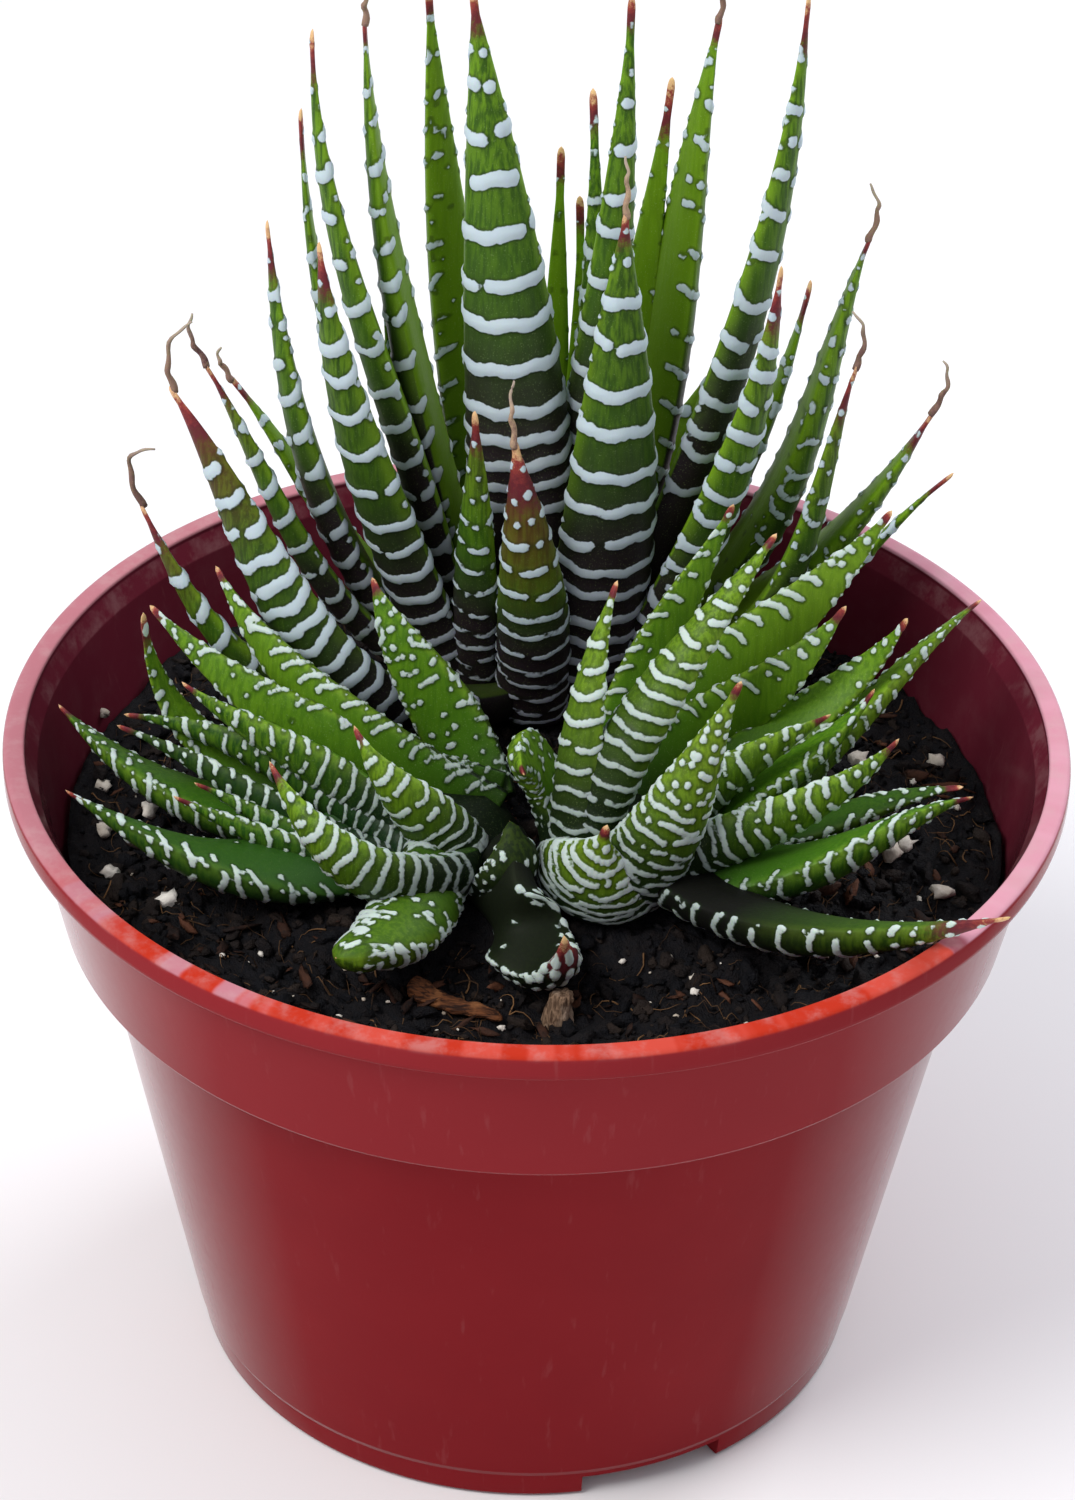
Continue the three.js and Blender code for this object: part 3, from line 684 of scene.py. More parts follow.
def band_chains(look, length, half, rng):
    """Chains of beads over the outer face; half gives half the face's width at a place."""
    chains = []
    for at in band_places(look, length, rng):
        share = at / length
        reach = half(at)
        radius = look["radius"] * (0.76 + 0.42 * share) * rng.uniform(0.9, 1.08)
        radius = min(radius, 0.26 + 0.2 * reach)
        dash = max(0.3, look["dash"] * max(0.0, 1 - share) ** 2)
        hook = rng.uniform(0.5, 1.2) * min(1.0, reach / 3)
        wave = rng.uniform(0.1, 0.24)
        phase = rng.uniform(0, 6.3)
        across = -reach - look["over"][0] * rng.uniform(0.5, 1.2)
        end = reach + look["over"][1] * rng.uniform(0.5, 1.2)
        shift, slope = 0.0, rng.uniform(-0.05, 0.05)
        chain = []
        while across < end:
            rise = hook * min(1.15, abs(across) / reach) ** 4
            rise += wave * math.sin(phase + across * 1.5) + shift + slope * across
            chain.append((at + rise, across, radius * rng.uniform(0.86, 1.12)))
            across += bead_step * rng.uniform(0.8, 1.2)
            if rng.random() < bead_step / dash:
                chains.append(chain)
                chain = []
                across += radius * rng.uniform(1.5, 2.1)
                shift = rng.uniform(-0.12, 0.12) * look["pitch"]
                slope = rng.uniform(-0.12, 0.12)
        if chain:
            chains.append(chain)
    return chains


example = band_chains({**plain_look, **band_looks["left"]}, 30, lambda at: 3.0, random.Random(1))
print("a leaf 30 mm long gets", len(example), "dashes and", sum(map(len, example)), "beads")

# %% Warts along the edges and dots on the inner face
row_share = 0.75
widest_row = 2.4
dotted_part = (0.12, 0.93)


def edge_chains(look, length, half, rng):
    """Single beads along both edges of a face."""
    chains = []
    for edge in (-1, 1):
        at = length * 0.1 + rng.uniform(0, 2)
        while at < length - 1.2 - look["tip"] * 0.5:
            radius = look["radius"] * rng.uniform(0.55, 0.9) * (1.1 - 0.4 * at / length)
            chains.append([(at, edge * half(at), radius)])
            at += look["edge"] * rng.uniform(0.7, 1.3) * (1.15 - 0.35 * at / length)
    return chains


def dot_chains(look, length, half, rng):
    """Small dots on the inner face, in loose rows across the leaf and denser at its edges."""
    chains = []
    at = dotted_part[0] * length
    while look["dots"] > 0 and at < dotted_part[1] * length:
        reach = half(at)
        across = -reach + rng.uniform(0, 0.8)
        while across < reach:
            near_edge = 0.45 + 0.55 * (abs(across) / reach) ** 2
            if rng.random() < look["dots"] * near_edge:
                size = look["dot"] * rng.uniform(0.8, 1.2)
                chains.append([(at + rng.uniform(-0.3, 0.3), across, size)])
            across += rng.uniform(0.65, 1.15)
        at += row_share * min(look["pitch"], widest_row) * rng.uniform(0.8, 1.2)
    return chains


def onto_inner(chains, half_outer, half_inner):
    """The parts of the chains that run over the edges, laid on the inner face."""
    laid = []
    for chain in chains:
        run = []
        for at, across, radius in chain:
            past = abs(across) - half_outer(at)
            if past > -0.7:
                run.append((at, math.copysign(half_inner(at) - past, across), radius))
            elif run:
                laid.append(run)
                run = []
        if run:
            laid.append(run)
    return laid


over_edge = onto_inner(example, lambda at: 3.0, lambda at: 2.6)
print(len(over_edge), "of its dashes run over an edge on to the inner face")

# %% [markdown]
# ## White of a leaf
#
# A chain has to turn into values on the skin. The outer face and the inner face are laid out flat
# side by side, one row for each step along the leaf, and each point of them learns its depth in
# the white. A shrink-wrapped mesh for every wart would be far heavier.

# %% Depth of every point in the white
out_of_reach = -1.5
search_reach = 2


def depth_inside(chains, at, across):
    """How deep in mm each point of a face lies inside the nearest chain, below zero outside."""
    inside = np.full(across.shape, out_of_reach)
    for chain in chains:
        for first, second in zip(chain, chain[1:] + chain[-1:]):
            low = np.searchsorted(at, min(first[0], second[0]) - search_reach)
            high = np.searchsorted(at, max(first[0], second[0]) + search_reach)
            if high <= low:
                continue
            du = at[low:high, None] - first[0]
            dv = across[low:high] - first[1]
            run = (second[0] - first[0], second[1] - first[1])
            size = run[0] ** 2 + run[1] ** 2
            share = np.clip((du * run[0] + dv * run[1]) / size, 0, 1) if size > 1e-6 else 0.0
            away = np.hypot(du - share * run[0], dv - share * run[1])
            bridge = neck * (first[2] + (second[2] - first[2]) * share) - away
            bead = first[2] - np.hypot(du, dv)
            inside[low:high] = np.maximum(inside[low:high], np.maximum(bridge, bead))
    return inside


def white_field(look, length, at, wide, arcs, half_arcs, rng):
    """The depth in the white over both faces, whose points lie at arcs for a leaf of width 1."""

    def half_outer(place):
        return float(np.interp(place, at, wide)) * half_arcs[0]

    def half_inner(place):
        return float(np.interp(place, at, wide)) * half_arcs[1]

    outer = band_chains(look, length, half_outer, rng) + edge_chains(look, length, half_outer, rng)
    inner = onto_inner(outer, half_outer, half_inner) + dot_chains(look, length, half_inner, rng)
    fields = []
    for chains, arc in zip((outer, inner), arcs):
        marked = [chain for chain in chains if chain[0][0] >= look["start"] * length]
        fields.append(depth_inside(marked, at, np.outer(wide, arc)))
    return np.concatenate(fields, axis=1)


# %% [markdown]
# ## Growing a leaf
#
# Now the spine, the section and the bands come together. The skin is lifted where a bead lies,
# so that the bands are real ridges and roughen the leaf's outline, and the values that the
# material needs are kept at every point. A displacement modifier could lift the skin from a
# texture, but then the bands would have to be painted first.

# %% Leaf skin
ridge_height = 0.26
full_ridge_depth = 0.4
full_ridge_width = 3
plain_skin = {
    "white": -1.0, "edge": 0.0, "inner": 0.0, "flush": 0.0, "dark": 0.0, "warm": 0.0, "dry": 0.0,
}


def leaf_steps(row, length, skin_step):
    """Shares of the length at which the leaf has a ring of points, close together at its end."""
    rounding = tip_rounding(row) / length
    body = np.linspace(0, 1 - rounding, max(12, int(length / skin_step)))
    return np.concatenate([body, 1 - rounding * np.cos(np.linspace(0.2, math.pi / 2, 7))])


def leaf_section(width, plump, skin_step):
    """A ring for a leaf of width 1: its points, the way out at each, and the arcs of both faces."""
    angle, outer, outer_arc = half_outline(outside_depth, max(12, int(1.42 * width / skin_step)))
    whole_face = half_outline(plump, max(6, int(1.05 * width / skin_step)))
    inner_angle, inner, inner_arc = [part[-2:0:-1] for part in whole_face]
    outer_way = np.stack([np.sin(angle) * outside_depth, -np.cos(angle) / 2], -1)
    inner_way = np.stack([np.sin(inner_angle) * plump, np.cos(inner_angle) / 2], -1)
    ring = np.concatenate([outer * [1, -1], inner])
    return ring, unit(np.concatenate([outer_way, inner_way])), (outer_arc, inner_arc)


def grow_leaf(heap, crown_name, row, skin_step):
    """Adds one leaf, and the dried thread on its tip, to the heap of its rosette."""
    crown = crowns[crown_name]
    look = {**plain_look, **band_looks[crown_name], **leaf_looks.get(row[0], {})}
    rng = random.Random(crown_name + row[0])
    length = leaf_spine(crown, row, np.linspace(0, 1, 5))[4]
    t = leaf_steps(row, length, skin_step)
    at = t * length
    spine, direction, across, normal, _ = leaf_spine(crown, row, t)
    wide = leaf_width(row, length, t)
    ring, way_out, arcs = leaf_section(row[6], look["plump"], skin_step)
    half_arcs = (arcs[0][-1], half_outline(look["plump"], 8)[2][-1])
    white = white_field(look, length, at, wide, arcs, half_arcs, rng)
    lift = ridge_height * (1 - (1 - np.clip(white / full_ridge_depth, 0, 1)) ** 2)
    lift = lift * np.minimum(1, wide / full_ridge_width)[:, None]
    offset = ring[None] * wide[:, None, None] + way_out[None] * lift[..., None]
    points = spine[:, None] + offset[..., :1] * across[:, None] + offset[..., 1:] * normal[:, None]

    rings, sides = white.shape
    skin = {
        "white": white.reshape(-1),
        "along": np.repeat(t, sides),
        "from_tip": np.repeat((length - at) / max(look["tip"], 0.01), sides),
        "edge": np.tile(np.abs(np.concatenate([arcs[0] / half_arcs[0], arcs[1] / half_arcs[1]])), rings),
        "inner": np.tile(np.repeat([0.0, 1.0], [len(arcs[0]), len(arcs[1])]), rings),
        "seed": rng.random(),
        # dark is painted shade on the leaf; fade makes it strongest at the root and weaker towards the
        # tip.
        "dark": np.repeat(np.clip(look["dark"] * (1 + look["fade"] * (0.25 - 0.9 * t)), 0, 1), sides),
    }
    faces = [face[::-1] for face in closed_tube(rings, sides)]
    tones = {key: look[key] for key in ("heat", "flush", "warm")}
    heap.add(points.reshape(-1, 3), faces, **{**plain_skin, **tones, **skin})
    if row[10] > 0:
        add_thread(heap, row, spine[-1], direction[-1], normal[-1], rng)


# %% [markdown]
# ## Dried threads
#
# On the tall rosette many tips have died back to a thin, curled thread. A curve object with a
# round bevel would do, but it couldn't carry the values of the leaf skin. So a tube is laid along
# a curve with four control points. The two lowest leaves at the left have the strongest curl.

# %% Thread on a leaf's tip
thread_radius = 0.30
thread_start = 0.9
cream_threads = ("front young", "front right")
thread_curls = {
    "lower left": [(-0.3, 0, 2.4), (-0.7, 0, 5.6), (2.6, 0, 7.4)],
    "lowest left": [(-1.3, 0, 3.4), (-1.7, 0, 6.6), (1.8, 0, 6.0)],
}


def add_thread(heap, row, start, direction, inner, rng):
    """A thin tube that goes on from the leaf, then turns up and inwards."""
    rings, sides = 22, 7
    turn = unit(inner * 0.6 + [0, 0, 0.9])
    bend = np.array([rng.uniform(-0.2, 0.2), rng.uniform(-0.2, 0.2), 0])
    usual = [direction * 0.3, direction * 0.62, direction * 0.55 + (turn + bend) * 0.45]
    curls = thread_curls.get(row[0])
    controls = [start - direction * thread_start]
    controls += [start + (np.array(curls[k]) if curls else usual[k] * row[10]) for k in range(3)]
    s = np.linspace(0, 1, rings)[:, None]
    weights = [(1 - s) ** 3, 3 * s * (1 - s) ** 2, 3 * s * s * (1 - s), s**3]
    path = sum(weight * control for weight, control in zip(weights, controls))
    path += 0.12 * np.sin(s * [17, 13, 11] + rng.uniform(0, 6))
    radius = thread_radius * (1.25 - 0.85 * s) * (1 + 0.12 * np.sin(s * 23))
    way = unit(np.gradient(path, axis=0))
    side = unit(np.cross(way, [0.31, 0.42, 0.85]))
    points = tube_round(path, radius[..., None], sides, side, np.cross(way, side))
    skin = {"along": 1.0, "from_tip": np.repeat(-s.ravel(), sides), "heat": 0.5, "dry": 1.0}
    seed = 0.8 if row[0] in cream_threads else rng.uniform(0, 0.45)
    heap.add(points, closed_tube(rings, sides), **{**plain_skin, **skin, "seed": seed})


# %% [markdown]
# ## Green of a leaf
#
# The blade is light green above and nearly black olive at the foot of the tall rosette, and lime
# green in the low ones. A painted texture could hold that, but then it would need a flat map of
# every leaf. Instead every change follows a value that the leaf carries, so that it stays with
# the leaf from all sides.


# %% Green of the blade
def blade_colour(recipe, leaf, grain, streaks, colours):
    """Dark at the foot, partly own colour and partly painted shade, and lighter in streaks, in painted
    light along the margins, and on the inner face.
    """
    patchy = recipe.plus(leaf["along"], recipe.scaled(grain["Patches"], 0.16, -0.08))
    shade = recipe.plus(patchy, recipe.scaled(leaf["seed"], 0.16, -0.08))
    low, high = colours["change"]
    # The foot colour is partly the leaf's own and partly painted shade where the leaves crowd at the
    # root.
    grown = recipe.between(shade, low, high)
    light = recipe.times(recipe.between(streaks, 0.35, 0.65), recipe.between(shade, low + 0.1, 0.95))
    # Painted shade: the lighter inner face fades out towards the root.
    inner_share = recipe.between(shade, 0.0, 0.3, 0.2, colours["inner_share"])
    # Painted light: the margins are lightened as if light shone through the thin edges.
    margin = recipe.times(recipe.between(leaf["edge"], 0.7, 1.0), grown)
    green = recipe.layers(
        recipe.blend(grown, colours["foot"], colours["blade"]),
        (light, colours["light"]),
        (recipe.times(leaf["inner"], inner_share), colours["inner"]),
        (recipe.times(margin, 0.55), colours["margin"]),
        (recipe.times(grain["Specks"], 0.25), "a9bf7c"),
    )
    return shade, green


def own_tone(recipe, leaf, green):
    """A leaf of its own tone, yellower towards the tip or cooler all over, then darkened by painted
    shade.
    """
    warm = recipe.between(leaf["warm"], 0.0, 1.0, smooth=False)
    cool = recipe.between(leaf["warm"], 0.0, -1.0, smooth=False)
    yellow = recipe.times(warm, recipe.between(leaf["along"], 0.1, 0.8))
    return recipe.layers(
        green,
        (recipe.times(yellow, 0.55), "829b20"),
        (recipe.times(cool, 0.9), "17491f"),
        # Painted shade: near-black olive blended in by the leaf's dark value.
        (leaf["dark"], "0c0d08"),
    )


# %% [markdown]
# ## Tips, bands and threads
#
# A tip goes through a flush of brown, then maroon or orange red, to a dry tan point. The bands
# are matt and a little blue, greyer in painted shade near the root, and ringed by a darker rim of
# painted shade where they rise from the skin. Each could be a material of its own, but they fade
# into each other. So they are blended over the green, in the order in which they lie on the real
# leaf.


# %% Colours over the green
def tip_colour(recipe, leaf, grain, green, rim):
    """The coloured tip, then painted shade on the skin close to a band, which is fainter on the tip."""
    near_tip = recipe.plus(leaf["from_tip"], recipe.scaled(grain["Relief"], 1.2, -0.6))
    # Painted shade: a dark rim round each band, as in the crease at a ridge's foot.
    close = recipe.between(leaf["white"], -0.32, -0.04)
    return recipe.layers(
        green,
        (recipe.times(recipe.between(near_tip, 3.2, 1.2), leaf["flush"]), "5a2a1c"),
        (recipe.between(near_tip, 1.35, 0.75), recipe.blend(leaf["heat"], "62242c", "c64a10")),
        (recipe.between(near_tip, 0.75, 0.35), recipe.blend(leaf["heat"], "8c3834", "ec621e")),
        (recipe.between(near_tip, 0.4, 0.08), "dcb284"),
        (recipe.times(close, recipe.between(near_tip, 0.9, 1.8, 0.05, 0.5)), rim),
    )


def band_colour(recipe, leaf, grain, where, shade, colours):
    """Pale warts: where they are, uneven along their edges, and their colour, greyer in painted shade
    near the root.
    """
    pale = recipe.layers(
        # Painted shade: the bands turn grey towards the root.
        recipe.blend(recipe.between(shade, 0.1, 0.55), colours["shaded_band_foot"], colours["band"]),
        (recipe.times(grain["Patches"], 0.4), "cfd6d2"),
    )
    ragged = recipe.scaled(recipe.mottle(where, 1500.0, 2), 0.3, -0.15)
    return recipe.between(recipe.plus(leaf["white"], ragged), -0.03, 0.1), pale


def thread_colour(recipe, leaf, grain):
    """The dried thread, from purplish brown to cream."""
    return recipe.layers(
        recipe.blend(leaf["seed"], "5b3c40", "c2a488"),
        (recipe.between(grain["Relief"], 0.4, 0.65), "8c6f62"),
        (recipe.between(leaf["from_tip"], -0.4, -1.0), "a8988c"),
    )


# %% [markdown]
# ## Leaf skin
#
# The skin is satin, with faint lengthwise streaks, and a little light passes through it. Two
# separate recipes would drift apart when one is changed, so the tall and the low rosettes share
# one with two sets of colours. They are the same plant at two ages.


# %% Leaf materials
def leaf_material(name, colours):
    material, recipe, shader = new_material(
        name, Subsurface_Weight=0.15, Subsurface_Scale=0.0015, Specular_IOR_Level=0.16
    )
    shader.inputs["Subsurface Radius"].default_value = (0.5, 1.0, 0.15)
    where = recipe.place()
    grain = recipe.use(fine_grain, Vector=where, Scale=1400.0)
    streaks = recipe.mottle(recipe.stretched(where, (1.0, 1.0, 0.1)), 2400.0, 2)
    leaf = {value: recipe.carried(value) for value in (*plain_skin, "along", "from_tip", "seed", "heat")}
    shade, green = blade_colour(recipe, leaf, grain, streaks, colours)
    green = tip_colour(recipe, leaf, grain, own_tone(recipe, leaf, green), colours["rim"])
    white, pale = band_colour(recipe, leaf, grain, where, shade, colours)
    thread = thread_colour(recipe, leaf, grain)
    colour = recipe.layers(green, (white, pale), (leaf["dry"], thread))
    rough = recipe.total(
        recipe.scaled(grain["Relief"], 0.22, 0.34),
        (white, 0.12), (leaf["dry"], 0.25), (leaf["dark"], 0.25),
    )
    height = recipe.total(recipe.scaled(grain["Relief"], 0.35, 0.0), (white, 0.45), (streaks, 0.3))
    finish_material(recipe, shader, colour, rough, height, 0.14, 0.8)
    return material


# In both sets the foot colour is partly painted shade, and the band colour near the foot and the rim
# colour are painted shade.
tall_leaf = leaf_material("tall haworthia leaf", {
    "foot": "241c20", "blade": "345610", "light": "67901a", "inner": "6c9414", "inner_share": 0.7,
    "margin": "7ba31c", "change": (0.3, 0.62), "rim": "10180a", "shaded_band_foot": "8a90a0", "band": "b6c9d3",
})
young_leaf = leaf_material("young haworthia leaf", {
    "foot": "101d0d", "blade": "33590e", "light": "6f981e", "inner": "4d7f16", "inner_share": 0.55,
    "margin": "86ab2c", "change": (0.1, 0.6), "rim": "14250b", "shaded_band_foot": "82938f", "band": "bccfc8",
})

# %% [markdown]
# ## The three rosettes
#
# Every leaf of a rosette goes into one piece, with a low crown that the leaf roots sit on. One
# object for each leaf would be easier to pose, but one piece for each rosette follows the plant:
# a rosette lifts out of the pot as a whole.


# %% Grow the rosettes
def add_crown(heap, crown):
    """The low, plain stem of a rosette."""
    flare = soil_level + 0.7
    radius = crown["radius"]
    profile = [(5.0, soil_level - 8), (5.0, flare), (radius - 1.5, flare + 0.4)]
    profile += [(radius, flare + 2), (radius - 1.5, flare + 4.5), (radius * 0.5, flare + 6.4)]
    sides = 48
    points = turned(profile, sides, (crown["x"], crown["y"]))
    # The crown takes some painted shade too, as it sits under the leaves.
    skin = {"along": 0.0, "from_tip": 50.0, "seed": 0.2, "heat": 0.0, "dark": 0.3}
    heap.add(points, closed_tube(len(profile), sides), **{**plain_skin, **skin})


skin_steps = {"back": 0.565, "left": 0.36, "right": 0.36}
leaf_materials = {"back": tall_leaf, "left": young_leaf, "right": young_leaf}
crumb_zone = soil_level + 7
open_height = 1e9
lowest_leaf = {}
for name, rows in leaf_rows.items():
    heap = Heap()
    add_crown(heap, crowns[name])
    for row in rows:
        grow_leaf(heap, name, row, skin_steps[name])
    leaf_points = np.concatenate(heap.points)
    for x, y, z in leaf_points[leaf_points[:, 2] < crumb_zone]:
        cell = (round(x), round(y))
        lowest_leaf[cell] = min(lowest_leaf.get(cell, open_height), z)
    node = "rosette_" + name
    heap.piece(node + "_leaves", leaf_materials[name], replaced=[node], slot=node)

# %% [markdown]
# ## Potting mix
#
# The mix is dark, damp coir and peat: a lumpy surface, crumbs, curled fibres, shreds of bark and
# white grains of perlite. A bumpy plane alone would look like tar, and a particle system would be
# hard to keep off the leaves. So a lumpy surface is made first, and each kind of crumb is then
# laid on it where no leaf is in the way.

# %% Height of the mix
pot_height = 73.0
collar_height = 18.5
lip_height = 2.7
wall = 1.4
collar_low_radius = 48.9
collar_top_radius = 52.0
ledge_top = pot_height - collar_height + wall
soil_edge_gap = 0.35
soil_edge_height = 58.8


def collar_inside(height):
    """Radius of the collar's inner wall."""
    share = (height - pot_height + collar_height) / (collar_height - lip_height)
    return collar_low_radius + (collar_top_radius - collar_low_radius) * share - wall


def soil_height(x, y):
    """The plain surface, as in the solid: firm round each crown, lumpy elsewhere."""
    lumps = math.sin(x * 0.31 + 1.1) * math.cos(y * 0.27 - 0.6)
    lumps += 0.6 * math.sin(x * 0.63 - y * 0.48 + 2.0)
    from_crown = min(math.hypot(x - c["x"], y - c["y"]) - c["radius"] for c in crowns.values())
    loose = float(soft_step(1.5, 9.5, from_crown))
    dip = 1.6 * float(soft_step(30, 65, x + y))
    hollow = 3.0 * (1 - float(soft_step(7, 20, math.hypot(x, y + 28))))
    return soil_level + loose * (0.5 * (lumps - 1.6) - dip - hollow)


def rough_soil(x, y):
    """The same surface with clods and crumbs of its own, lifted no higher than 0.6 mm."""
    clods = noise.fractal(Vector((x * 0.17, y * 0.17, 3.1)), 0.8, 2.1, 4)
    crumbs = noise.fractal(Vector((x * 0.8, y * 0.8, 8.7)), 0.6, 2.0, 3)
    return soil_height(x, y) + max(-1.6, min(0.6, 1.1 * clods + 0.75 * crumbs))


print("the mix is", round(soil_height(0, -28), 1), "mm up in the hollow at the front")

# %% Surface of the mix
soil_rings, spokes = 96, 270
edge_radius = collar_inside(soil_edge_height) - soil_edge_gap
soil_sides = [
    (34.75, 5.35),
    (43.95, ledge_top - 0.05),
    (collar_inside(ledge_top) - soil_edge_gap, ledge_top + soil_edge_gap),
]
surface = turned([(edge_radius * (1 - ring / soil_rings), 0) for ring in range(soil_rings)], spokes)
surface[:, 2] = [rough_soil(x, y) for x, y, _ in surface]
soil_points = np.concatenate([turned(soil_sides, spokes), surface])
print("mix from", round(surface[:, 2].min(), 1), "to", round(surface[:, 2].max(), 1), "mm up")

# %% [markdown]
# ## Materials of the mix
#
# Damp peat is nearly black; fibres and bark are brown, and perlite is chalk white with brown
# stains. A value that each crumb carries picks its tone, so one material serves all the dark
# crumbs, where random colours from the object would need an object for each.


# %% Peat, fibre, bark and perlite
def crumb_material(name, dark, light, specular, relief_depth, stain=None):
    material, recipe, shader = new_material(name, Specular_IOR_Level=specular)
    grain = recipe.use(fine_grain, Vector=recipe.place(), Scale=1100.0)
    uneven = recipe.scaled(grain["Relief"], 1.1, -0.55)
    tone = recipe.plus(recipe.carried("tone"), uneven, clamp=True)
    colour = recipe.blend(tone, dark, light)
    if stain:
        stained = recipe.between(grain["Patches"], 0.52, 0.68)
        colour = recipe.blend(recipe.times(stained, 0.6), colour, stain)
    rough = recipe.scaled(grain["Relief"], 0.3, 0.6)
    finish_material(recipe, shader, colour, rough, grain["Relief"], relief_depth)
    return material


peat = crumb_material("damp peat", "08090f", "2c231e", 0.18, 0.8)
fibre = crumb_material("coir fibre", "21150f", "7d5c3c", 0.2, 0.1)
bark = crumb_material("bark shreds", "170e0c", "5f3b2a", 0.18, 0.25)
perlite = crumb_material("perlite", "b3a592", "efebe3", 0.25, 0.2, stain="86745c")
soil_faces = closed_tube(len(soil_sides) + soil_rings, spokes)
soil_tone = {"tone": np.full(len(soil_points), 0.12)}
make_piece("potting_mix", soil_points, soil_faces, peat, soil_tone, replaced=["soil"], slot="soil")

# %% [markdown]
# ## Crumbs, fibres, shreds and grains
#
# Small forms are made from a few shapes, each turned, squashed and sunk a little. Real crumbs
# are all different, but a dozen shapes at random angles and sizes are enough to look so. A
# height kept for every square millimetre says how low the leaves come down there.

# %% Shapes for crumbs
mix_reach = 47.0


def lump_shape(detail, roughness, seed):
    """A ball of triangles pushed in and out by noise."""
    ball = bmesh.new()
    bmesh.ops.create_icosphere(ball, subdivisions=detail, radius=1.0)
    points = np.array([v.co[:] for v in ball.verts])
    faces = [[v.index for v in face.verts] for face in ball.faces]
    ball.free()
    push = [1 + roughness * noise.noise(Vector(p) * 1.9 + Vector((seed, 0, 0))) for p in points]
    return points * np.array(push)[:, None], faces


def tumbled(points, rng, stretch):
    """The points stretched, then turned any way up."""
    spin = Matrix.Rotation(rng.uniform(0, 6.3), 3, "Z") @ Matrix.Rotation(rng.uniform(0, 6.3), 3, "X")
    return (points * stretch) @ np.array(spin).T


def free_height(x, y):
    """How far above the mix the lowest leaf is."""
    cells = [(round(x) + i, round(y) + j) for i in (-1, 0, 1) for j in (-1, 0, 1)]
    return min(lowest_leaf.get(cell, open_height) for cell in cells) - soil_height(x, y)


def random_place(rng):
    radius = mix_reach * math.sqrt(rng.random())
    a = rng.uniform(0, 2 * math.pi)
    return radius * math.cos(a), radius * math.sin(a)


crumb_shapes = [lump_shape(2, 0.9, 10 + k) for k in range(7)]
small_shapes = [lump_shape(1, 0.7, 40 + k) for k in range(5)]
print(len(crumb_shapes), "larger and", len(small_shapes), "smaller shapes")

# %% Lay the crumbs
crumbs = Heap()
crumb_rng = random.Random(7)
crumb_count = 5200
for _ in range(crumb_count):
    x, y = random_place(crumb_rng)
    size = 0.22 + 0.95 * crumb_rng.random() ** 3
    if free_height(x, y) < size * 1.2 or math.hypot(x, y) + size > mix_reach + 0.4:
        continue
    points, faces = crumb_rng.choice(crumb_shapes if size > 0.62 else small_shapes)
    stretch = [crumb_rng.uniform(0.7, 1.5), crumb_rng.uniform(0.5, 1.0), crumb_rng.uniform(0.4, 0.9)]
    points = tumbled(points, crumb_rng, stretch) * size
    crumbs.add(points + [x, y, rough_soil(x, y) + 0.15 * size], faces, tone=crumb_rng.random() ** 2.5)
crumbs.piece("peat_crumbs", peat, slot="soil")

# %% Lay the fibres
fibres = Heap()
fibre_rng = random.Random(19)
fibre_steps, fibre_sides = 8, 4
fibre_count = 1250
for _ in range(fibre_count):
    x, y = random_place(fibre_rng)
    reach = fibre_rng.uniform(1.2, 7.0)
    heading = fibre_rng.uniform(0, 6.3)
    curl = fibre_rng.uniform(-0.5, 0.5)
    arch = fibre_rng.uniform(0.0, 1.3) if fibre_rng.random() < 0.4 else 0.1
    path = []
    for step in range(fibre_steps):
        rise = arch * math.sin(math.pi * step / (fibre_steps - 1))
        path.append((x, y, rough_soil(x, y) + 0.1 + rise))
        heading += curl
        x += math.cos(heading) * reach / fibre_steps
        y += math.sin(heading) * reach / fibre_steps
    if max(math.hypot(p[0], p[1]) for p in path) > mix_reach + 0.2:
        continue
    if min(free_height(p[0], p[1]) for p in path) < 1.0 + arch:
        continue
    path = np.array(path)
    thick = fibre_rng.uniform(0.035, 0.1) * (1.2 - np.linspace(0, 1, fibre_steps))[:, None, None]
    way = unit(np.gradient(path, axis=0))
    side = unit(np.cross(way, [0, 0, 1.0]))
    points = tube_round(path, thick, fibre_sides, side, np.cross(side, way))
    fibres.add(points, closed_tube(fibre_steps, fibre_sides), tone=fibre_rng.random() ** 2)
fibres.piece("coir_fibres", fibre, slot="soil")

# %% [markdown]
# ## Grains and shreds that the eye knows
#
# A few white grains and shreds of bark lie in plain sight beside the leaves. A random draw would
# never put them there, so they get their own places, and many small ones are strewn between them.

# %% Grains of perlite
white_grains = [
    (42.4, 14.6, 1.5), (33.9, 12.6, 1.9), (34.6, 11.0, 1.6), (38.0, -4.3, 1.6), (36.3, -6.0, 1.8),
    (41.1, -12.4, 1.7), (38.9, -11.8, 0.9), (39.5, 9.0, 0.7), (43.6, 3.2, 0.8), (45.2, 1.0, 0.6),
    (-46.0, 16.0, 1.0), (-44.9, 3.8, 1.2), (-43.8, -5.1, 1.5), (-42.7, -11.7, 1.3),
    (-36.3, -16.7, 1.9), (-39.7, -1.9, 1.5), (15.9, -26.1, 0.9), (15.9, -28.8, 0.7),
    (13.6, -22.9, 0.7), (-2.8, -31.6, 0.6), (13.9, -12.7, 1.6), (7.9, -18.3, 1.8),
]
grain_rng = random.Random(31)
small_grain_count = 130
grains = Heap()
for x, y, size in white_grains:
    points, faces = grain_rng.choice(crumb_shapes)
    points = tumbled(points, grain_rng, [1, 0.8, 0.75]) * size * 0.62
    grains.add(points + [x, y, rough_soil(x, y) + 0.35 * size], faces, tone=grain_rng.uniform(0.3, 1))
